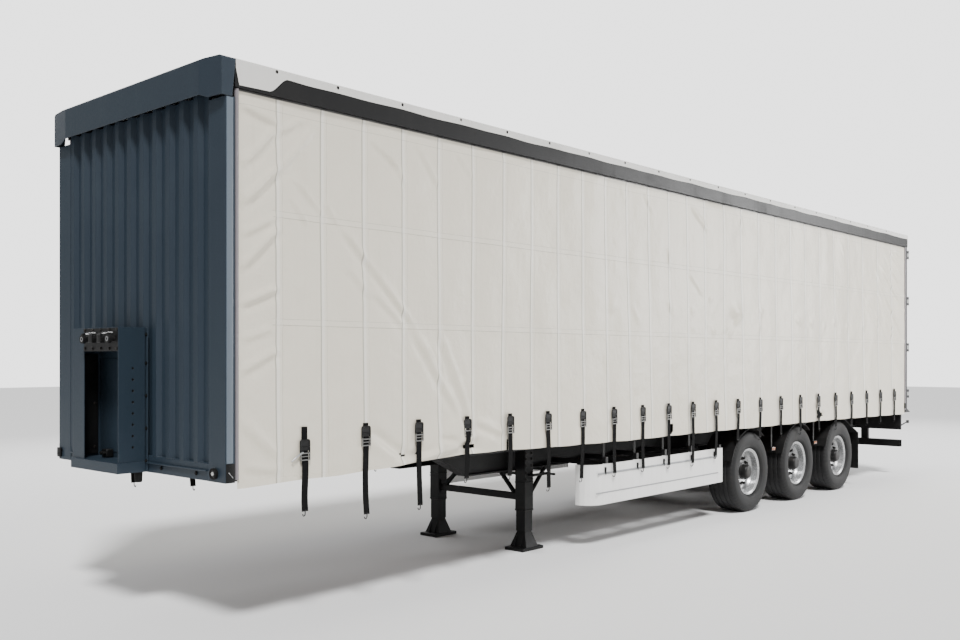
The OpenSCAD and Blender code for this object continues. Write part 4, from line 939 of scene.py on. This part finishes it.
webs, hooks = zip(*[strap(k) for k in range(len(BUCKLES))])
tabs = []
for k, s in enumerate(BUCKLES):
    z = 1.44 - BUCKLE_DROP[k]
    out = clear_of_cloth(np.array([s]), np.array([z]))[0]
    tabs.append(block((back(s) - 0.026, out - 0.004, z - 0.02), (back(s) + 0.026, out + 0.003, 1.475), 0.001))
straps = put("curtain_webbing", both(join(list(webs) + tabs)), strap_cloth)
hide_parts("curtain_straps")
put("strap_hooks", both(join(list(hooks))), black_plastic)

places = np.stack([back(BUCKLES), clear_of_cloth(BUCKLES, 1.37 - BUCKLE_DROP), 1.375 - BUCKLE_DROP], -1)
loop = rounded(0.084, 0.098, 0.012, 4)
loop = swept(rounded(0.011, 0.012, 0.003, 2), np.stack([loop[:, 0], np.full(16, 0.008), loop[:, 1] + 0.022], -1),
             (0, 1, 0), True)
lever = join([loop, block((-0.038, 0.001, -0.008), (0.038, 0.009, 0.066), 0.002),
              rod((-0.040, 0.009, 0.020), (0.040, 0.009, 0.020), 0.006, 10)])
put("buckle_levers", both(repeat(lever, places)), black_plastic)
cheeks = [block((low, 0.001, -0.084), (high, 0.016, -0.018), 0.001) for low,
          high in ((-0.045, -0.039), (0.039, 0.045))]
bars = [rod((-0.043, 0.011, z), (0.043, 0.011, z), r, 10) for z,
        r in ((-0.028, 0.0055), (-0.052, 0.004), (-0.078, 0.0055))]
steel = join(cheeks + bars)
put("buckle_frames", both(repeat(steel, places)), buckle_steel)
handle = tube(curve([(back(0.67), STRAP_Y + 0.010, 1.285), (back(0.62), STRAP_Y + 0.012, 1.262),
                     (back(0.565), STRAP_Y + 0.011, 1.222)], 10), 0.007, 10)
put("open_buckle_lever", both(handle), zinc)

POLE_FRONT, POLE_REAR = 0.102, 13.487
pole = join([rod((back(POLE_FRONT), HALF - 0.022, 1.13), (back(POLE_FRONT), HALF - 0.022, RAIL_LOW - 0.004), 0.016,
                 20),
             rod((back(POLE_REAR), HALF - 0.022, 1.10), (back(POLE_REAR), HALF - 0.022, RAIL_LOW - 0.004), 0.016,
                 20)])
put("curtain_poles", both(pole), pole_paint)
ratchet = block((back(POLE_REAR) - 0.030, HALF - 0.050, 1.125), (back(POLE_REAR) + 0.028, HALF - 0.004, 1.215), 0.004)
put("pole_ratchets", both(ratchet), chassis_paint)


# ---- wheels ----
AXLES = [np.mean([[*corner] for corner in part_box(f"tyre_{n}_left")], axis=0) for n in (1, 2, 3)]
TYRE_STEPS = 240
TYRE_R = (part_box("tyre_1_left")[1].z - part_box("tyre_1_left")[0].z) / 2
SECTION = [(0.2980, 0.100), (0.2980, 0.134), (0.3030, 0.141), (0.3115, 0.160), (0.3300, 0.1765), (0.3585, 0.1855),
           (0.3900, 0.1905),
           (0.4200, 0.1915), (0.4500, 0.1885), (0.4750, 0.1800), (0.4920, 0.1710), (0.5030, 0.1625), (0.5100, 0.1500)]
GROOVES = np.array([-0.098, -0.036, 0.036, 0.098])


def tyre_shape(centre, side):
    """Section carried round the axle: side walls with rings, a crown with four grooves, notched ribs and lugs."""
    wall = curve(SECTION, 44)
    across = np.linspace(0.146, -0.146, 62)
    crown = np.stack([TYRE_R - 0.0002 - 0.0035 * (across / 0.146)**2, across], -1)
    section = np.concatenate([wall, crown, wall[::-1] * [1, -1]])
    a = np.linspace(0, 2 * np.pi, TYRE_STEPS, endpoint=False)[:, None]
    r, w = section[:, 0][None] + 0 * a, section[:, 1][None] + 0 * a
    on_crown = smooth((r - 0.507) / 0.003)
    off = np.min(np.abs(w[..., None] - GROOVES - 0.0022 * np.sin(48 * a)[..., None]), axis=-1)
    groove = smooth((0.0085 - off) / 0.003)
    notch = (np.cos(80 * a) > 0.55) * smooth((0.017 - off) / 0.003)
    lug = (np.cos(60 * a) > 0.5) * smooth((np.abs(w) - 0.134) / 0.006) * smooth((r - 0.478) / 0.008)
    r = r - 0.011 * groove * on_crown - 0.0022 * notch * on_crown - 0.005 * lug
    rings = sum(np.exp(-((r - at) / 0.0016)**2) * high for at,
                high in ((0.322, 0.0016), (0.336, 0.0012), (0.372, 0.0009), (0.452, 0.0012), (0.462, 0.0009)))
    ribs = 0.0007 * (np.cos(120 * a) > 0) * smooth((r - 0.374) / 0.003) * smooth((0.392 - r) / 0.003)
    w = w + np.sign(w) * (rings + ribs) * (np.abs(w) > 0.15)
    verts = np.stack([centre[0] + r * np.cos(a), centre[1] + side * w, centre[2] + r * np.sin(a)], -1).reshape(-1, 3)
    return closed(verts, grid_quads(TYRE_STEPS, len(section), wrap_rows=True, wrap_cols=True))


def spin(shape, centre, radius, count, first=0.0):
    """The shape copied at equal turns on a circle in the wheel's plane."""
    a = first + 2 * np.pi * np.arange(count) / count
    return repeat(shape, np.stack([radius * np.cos(a), 0 * a, radius * np.sin(a)], -1) + centre)


for n, at in enumerate(AXLES, 1):
    for side, word in ((1, "left"), (-1, "right")):
        hub = at * [1, side, 1]
        body, out = f"wheel_{n}_{word}", (0, side, 0)
        tyre = put(f"tread_{n}_{word}", tyre_shape(hub, side), tyre_skin, body, angle=40)
        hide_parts(f"tyre_{n}_{word}")
        nut = join([turned([(0.019, 0.026), (0.025, 0.027), (0.025, 0.030), (0.020, 0.032)], (0, 0, 0), out, 20),
                    turned([(0.0185, 0.031), (0.0190, 0.033), (0.0190, 0.051), (0.0155, 0.054)], (0, 0, 0), out, 6),
                    turned([(0.0105, 0.052), (0.0110, 0.054), (0.0110, 0.066), (0.0085, 0.069)], (0, 0, 0), out, 12)])
        put(f"wheel_nuts_{n}_{word}", spin(nut, hub, 0.167, 10), nut_dark, body)
        cap = [(0.100, 0.0605), (0.107, 0.0625), (0.107, 0.0665), (0.0915, 0.071), (0.0895, 0.080), (0.0875, 0.125),
               (0.0845, 0.1420),
               (0.0760, 0.1520), (0.0660, 0.1555), (0.0400, 0.1570), (0.0100, 0.1575)]
        put(f"hub_cap_{n}_{word}", turned(cap, hub, out, 48), hub_paint, body)
        vent = turned([(0.0188, 0.0155), (0.0192, 0.0160), (0.0188, 0.0175)], (0, 0, 0), out, 20)
        put(f"rim_vents_{n}_{word}", spin(vent, hub, 0.204, 10, np.pi / 10), rubber, body)
        valve = tube(hub + curve([(0.236, side * 0.030, 0.02), (0.240, side * 0.075, 0.021),
                (0.244, side * 0.112, 0.022)], 8), 0.005, 8)
        put(f"valve_{n}_{word}", valve, zinc, body)

BRAKE_Y, DAMPER_Y = 0.665, 0.395
running, damper, hoses = [], [], []
for at in AXLES:
    x, z = at[0], at[2]
    running += [turned([(0.03, 0.0), (0.070, 0.012), (0.078, 0.030), (0.078, 0.078), (0.084, 0.082), (0.084, 0.094),
                        (0.078, 0.098),
                        (0.078, 0.150), (0.066, 0.168), (0.03, 0.176)], (x + 0.09, BRAKE_Y, z + 0.11), (1, 0, 0), 28),
                rod((x + 0.02, BRAKE_Y, z + 0.11), (x + 0.09, BRAKE_Y, z + 0.11), 0.014, 12)]
    damper += [rod((x + 0.06, DAMPER_Y, z + 0.085), (x + 0.18, DAMPER_Y, z + 0.200), 0.020, 14),
               rod((x + 0.17, DAMPER_Y, z + 0.190), (x + 0.31, DAMPER_Y, z + 0.325), 0.030, 18)]
    hoses.append(tube(curve([(x + 0.20, BRAKE_Y, z + 0.19), (x + 0.23, 0.64, z + 0.27), (x + 0.30, 0.58, z + 0.34),
                             (x + 0.33, 0.54, z + 0.42)], 18), 0.008, 8))
put("brake_chambers", both(join(running)), under_paint)
put("dampers", both(join(damper)), under_paint)
put("brake_hoses", both(join(hoses)), rubber)
PIPE_Z = 0.99
pipes = [rod((-6.2, y, PIPE_Z), (3.3, y, PIPE_Z), 0.007, 8) for y in (0.420, 0.402, 0.384)]
clips = [block((x - 0.02, 0.374, 0.978), (x + 0.02, 0.430, 1.003), 0.003) for x in np.linspace(-6.0, 3.2, 13)]
put("air_pipes", join(pipes + clips), black_plastic)


# ---- front ----
# A thin strip over each corner post's side face in the lighter paint: painted light on that face.
strip = block((back(0.060), HALF - 0.0005, 1.252), (back(0.006), HALF + 0.0020, 3.812), 0.001)
put("corner_lit_side_strips", both(strip), lit_side_paint)
foot = join([block((back(0.073), HALF - 0.0005, 1.118), (back(0.002), HALF + 0.0030, 1.249), 0.001),
             rod((back(0.030), HALF + 0.003, 1.225), (back(0.030), HALF + 0.0055, 1.225), 0.009, 12)])
put("corner_feet", both(foot), chassis_paint)
put("corner_latches", both(rod((back(0.058), HALF + 0.0035, 1.148), (back(0.022), HALF + 0.0035, 1.190), 0.0022,
        8)), aluminium)

wall_x = FRONT - 0.002
LEDGE_LOW = 1.183
LEDGE_HIGH = 1.194
ledge = join([block((wall_x, 0.225, LEDGE_LOW), (wall_x + 0.016, 1.045, LEDGE_HIGH), 0.002),
              block((wall_x, -1.045, LEDGE_LOW), (wall_x + 0.016, -0.575, LEDGE_HIGH), 0.002),
              block((wall_x + 0.0005, 0.1975, 1.118), (wall_x + 0.008, 0.2270, 2.222), 0.001)])
put("wall_ledges", ledge, front_paint)
bolt = hex_bolt((1, 0, 0), 0.010, 0.008)
spots = [(wall_x + 0.008, 0.212, z) for z in (1.20, 1.45, 1.70, 1.95,
        2.17)] + [(wall_x + 0.001, y, 1.160) for y in (0.42, 0.90, -0.70)]
put("wall_bolts", repeat(bolt, spots), rubber)
BRACKET_OUT = -1.2795
bracket = join([block((FRONT - 0.050, BRACKET_OUT, 1.160), (FRONT + 0.018, -1.215, 1.172), 0.003),
                block((FRONT + 0.004, BRACKET_OUT, 1.135), (FRONT + 0.018, -1.215, 1.215), 0.003),
                rod((FRONT - 0.016, -1.2790, 1.192), (FRONT - 0.016, -1.205, 1.192), 0.019, 20)])
put("corner_bracket", bracket, chassis_paint)

COUPLING_Z = 2.135
OUTER_LINES, INNER_SOCKETS = (-0.290, 0.115), (-0.155, -0.020)
head_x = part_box("air_couplings")[0].x + 0.006
rods = [rod((head_x + 0.007, y, 2.176), (head_x + 0.007, y + 0.20, 2.184), 0.0065, 14) for y in (-0.350, -0.080)]
put("header_rods", join(rods), chrome)
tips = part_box("air_couplings")[1].x
centre = turned([(0.0195, -0.004), (0.0200, -0.002), (0.0185, 0.0002), (0.012, 0.0003), (0.010, -0.003)], (0, 0, 0),
                (1, 0, 0), 24)
put("coupling_seals", repeat(centre, [(tips, y, COUPLING_Z) for y in OUTER_LINES]), zinc)
lug = block((-0.030, -0.012, 0.026), (-0.004, 0.012, 0.046), 0.003)
put("coupling_lugs", join([repeat(lug, [(tips, y, COUPLING_Z) for y in OUTER_LINES]),
                           repeat(block((-0.010, -0.030, -0.030), (-0.002, 0.030, 0.034), 0.004),
        [(tips, y, COUPLING_Z) for y in INNER_SOCKETS]),
                           repeat(rod((-0.014, -0.022, 0.038), (-0.014, 0.022, 0.038), 0.007, 12),
        [(tips, y, COUPLING_Z) for y in INNER_SOCKETS])]),
    black_plastic)
put("header_bolts", repeat(bolt, [(head_x, y, z) for y in (-0.345, -0.222, -0.088, 0.048,
        0.165) for z in (2.062, 2.205)]), nut_dark)
RECESS_LOW = 1.235
RECESS_HIGH = 1.985
inner = join([block((wall_x + 0.001, -0.500, RECESS_LOW), (wall_x + 0.012, -0.160, RECESS_HIGH), 0.003),
              block((wall_x + 0.001, -0.145, RECESS_LOW), (wall_x + 0.012, 0.150, RECESS_HIGH), 0.003)])
put("recess_panels", inner, front_paint)
liner = block((FRONT + 0.022, -0.5325, 1.215), (FRONT + 0.205, -0.5255, 2.020), 0.002)
put("recess_liner", liner, black_plastic)
side_bolt = hex_bolt((0, 1, 0), 0.009, 0.007)
put("recess_bolts", repeat(side_bolt, [(FRONT + dx, -0.5255,
        z) for dx in (0.05, 0.175) for z in (1.27, 1.62, 1.96)]), nut_dark)
SHELF_Z = 1.197
valves = join([block((FRONT + 0.016, -0.36, SHELF_Z), (FRONT + 0.075, -0.28, 1.262), 0.006),
               block((FRONT + 0.016, -0.10, SHELF_Z), (FRONT + 0.060, -0.03, 1.242), 0.006)])
put("recess_valves", valves, black_plastic)
KNOB_Z = 1.232
knobs = [rod((FRONT + 0.075, y, KNOB_Z), (FRONT + 0.098, y, KNOB_Z), 0.014, 18) for y in (-0.340, -0.300)]
put("valve_knobs", join(knobs), rubber)
plug = turned([(0.0094, 0.0), (0.0098, 0.001), (0.0098, 0.004), (0.0094, 0.005)], (0, 0, 0), (0, 1, 0), 20)
put("box_plugs", repeat(plug, [(6.824, 0.1760, 1.308 + 0.086 * k) for k in range(8)]), rubber)
sleeve = turned([(0.026, 0.0), (0.0275, 0.002), (0.031, 0.070), (0.031, 0.0775)], (6.762, 0.155, 1.0372), (0, 0, 1),
                28)
put("stub_sleeve", sleeve, rubber)

lamp_x = FRONT + 0.0223
MARKER = (1.145, 1.175)
face = turned([(0.0145, -0.002), (0.0150, 0.0005), (0.0120, 0.0035), (0.006, 0.0047), (0.002, 0.0050)],
              (lamp_x, *MARKER), (1, 0, 0), 28)
ring = turned([(0.0385, -0.020), (0.0400, -0.004), (0.0385, 0.0030), (0.0340, 0.0048), (0.0300, 0.0030),
               (0.0290, -0.002)], (lamp_x, *MARKER), (1, 0, 0), 32)
put("front_marker_ring", ring, rubber)
put("front_marker_lens", face, clear_lens)


# ---- side guard, legs and lamps ----
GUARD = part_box("side_guards")
# Two raised strips along the guard, at the top rail and the low lip, in grey: painted groove shade.
top_rail = block((back(7.02), GUARD[1].y - 0.0005, 0.771), (back(4.51), GUARD[1].y + 0.0060, 0.792), 0.0025)
low_lip = block((back(7.05), GUARD[1].y - 0.0005, 0.574), (back(4.48), GUARD[1].y + 0.0045, 0.586), 0.002)
put("guard_groove_shade_strips", both(join([top_rail, low_lip])), groove_shade_grey)
latch = join([block((-0.014, 0.0, -0.030), (0.014, 0.010, 0.030), 0.003),
              rod((0, 0.002, 0.012), (0, 0.016, 0.012), 0.008, 12),
              rod((0, 0.010, -0.05), (0, 0.010, 0.012), 0.004, 8)])
put("guard_latches", both(repeat(latch, [(back(s), GUARD[1].y + 0.001,
        0.815) for s in (4.643, 5.253, 5.793, 6.406, 6.952)])), black_plastic)

LEG_X, LEG_Y = 2.692, 0.627
rib = [(-0.112, 0.030), (-0.066, 0.150), (-0.066, 0.030)]
ribs = [plate([(LEG_X + k * x, z) for x, z in rib], LEG_Y - 0.004 + dy, LEG_Y + 0.004 + dy,
              1) for k in (1, -1) for dy in (-0.04, 0.04)]
bands = [block((LEG_X - 0.070, LEG_Y - 0.070, z), (LEG_X + 0.070, LEG_Y + 0.070, z + 0.016),
               0.003) for z in (0.404, 0.690, 1.04)]
put("leg_ribs", both(join(ribs + bands)), chassis_paint)
out_bolt = hex_bolt((0, 1, 0), 0.011, 0.009)
put("leg_bolts", both(repeat(out_bolt, [(LEG_X + dx, LEG_Y + 0.0665,
        z) for dx in (-0.045, 0.045) for z in (0.73, 0.80, 0.87, 0.94, 1.00)])), nut_dark)

amber = [block((x - 0.044, 1.2285, 0.753), (x + 0.044, 1.2345, 0.788), 0.004) for x in (-1.823, -3.163)]
put("amber_lenses", both(join(amber)), amber_lens)


def lamp_face(inner_y, outer_y):
    """One lens of the tail lamp, between two distances from the middle."""
    return block((TAIL_X - 0.006, inner_y, 0.822), (TAIL_X + 0.001, outer_y, 0.976), 0.004)


TAIL_X = -6.7135
red = join([lamp_face(0.777, 0.915), lamp_face(1.090, 1.195)])
put("tail_lenses", both(red), red_lens)
put("turn_lenses", both(lamp_face(0.920, 1.015)), amber_lens)
put("reverse_lenses", both(lamp_face(1.020, 1.085)), clear_lens)
put("blank_plate", block((-6.6640, -0.26, 0.860), (-6.6585, 0.26, 0.970), 0.003), plate_white)


# ---- rear doors ----
for side, word in ((1, "left"), (-1, "right")):
    body = f"door_{word}"
    trims = [block((REAR - 0.003, low_y, low_z), (REAR + 0.001, high_y, high_z), 0.001)
             for low_y, high_y, low_z, high_z in ((0.010, 1.230, 1.180, 1.235), (0.010, 1.230, 3.985, 4.034),
                                                  (0.010, 0.055, 1.240, 3.980), (1.180, 1.230, 1.240, 3.980))]
    put(f"door_trims_{word}", on_side(join(trims), side), aluminium, body)
    seal = block((REAR - 0.007, 0.0030, 1.182), (REAR - 0.001, 0.0095, 4.034), 0.002)
    put(f"door_seal_{word}", on_side(seal, side), rubber, body)
    zs = np.arange(1.30, 3.96, 0.12)
    studs = repeat(rivet((-1, 0, 0), 0.006, 0.003), [(REAR - 0.003, y, z) for y in (0.032, 1.205) for z in zs])
    put(f"door_rivets_{word}", on_side(studs, side), aluminium, body)
    grips = [tube(curve([(REAR - 0.038, y - 0.19, 1.835), (REAR - 0.044, y - 0.22, 1.830),
                         (REAR - 0.046, y - 0.27, 1.815)], 10), 0.009, 10) for y in (0.39, 0.79)]
    put(f"door_grips_{word}", on_side(join(grips), side), rubber, body)


# ---- lights and stage ----
def area_light(name, at, towards, size, power, colour=(1, 1, 1)):
    data = bpy.data.lights.new(name, "AREA")
    data.shape = "RECTANGLE"
    data.size, data.size_y = size
    data.energy = power
    data.color = colour
    light = add(name, data)
    light.location = at
    light.rotation_euler = aimed(Vector(towards) - Vector(at))


sun_data = bpy.data.lights.new("high_key", "SUN")
sun_data.energy, sun_data.angle = 4.2, math.radians(11.0)
add("high_key", sun_data).rotation_euler = aimed((-0.36, -0.46, -0.80))
area_light("side_fill", (-2.0, 15.0, 6.0), (-3.0, 0.0, 2.0), (16.0, 6.0), 350.0)
area_light("sheen", (-15.0, 10.0, 5.0), (-1.0, 1.2, 2.4), (5.0, 7.0), 1500.0)
area_light("rear_fill", (-18.0, -6.0, 9.0), (-5.0, 0.0, 2.0), (8.0, 6.0), 900.0)
area_light("far_fill", (0.0, -14.0, 9.0), (0.0, 0.0, 2.0), (16.0, 6.0), 1100.0)
world = bpy.data.worlds.new("studio")
bpy.context.scene.world = world
world.use_nodes = True
world.node_tree.nodes["Background"].inputs["Color"].default_value = (1.0, 1.0, 1.0, 1)
sky = Wire(world.node_tree)
seen = sky.node("ShaderNodeLightPath").outputs["Is Camera Ray"]
world.node_tree.links.new(sky.step(seen, 0.0, 1.0, 0.32, 2.6), world.node_tree.nodes["Background"].inputs["Strength"])

floor_mesh = bpy.data.meshes.new("studio_floor")
floor_mesh.from_pydata([(-60, -60, 0), (60, -60, 0), (60, 60, 0), (-60, 60, 0)], [], [(0, 1, 2, 3)])
studio_floor = add("studio_floor", floor_mesh)
floor_finish, _, floor_surface, _ = start_material("studio_floor", Roughness=0.9)
floor_surface.inputs["Base Color"].default_value = (0.86, 0.86, 0.86, 1)
floor_mesh.materials.append(floor_finish)
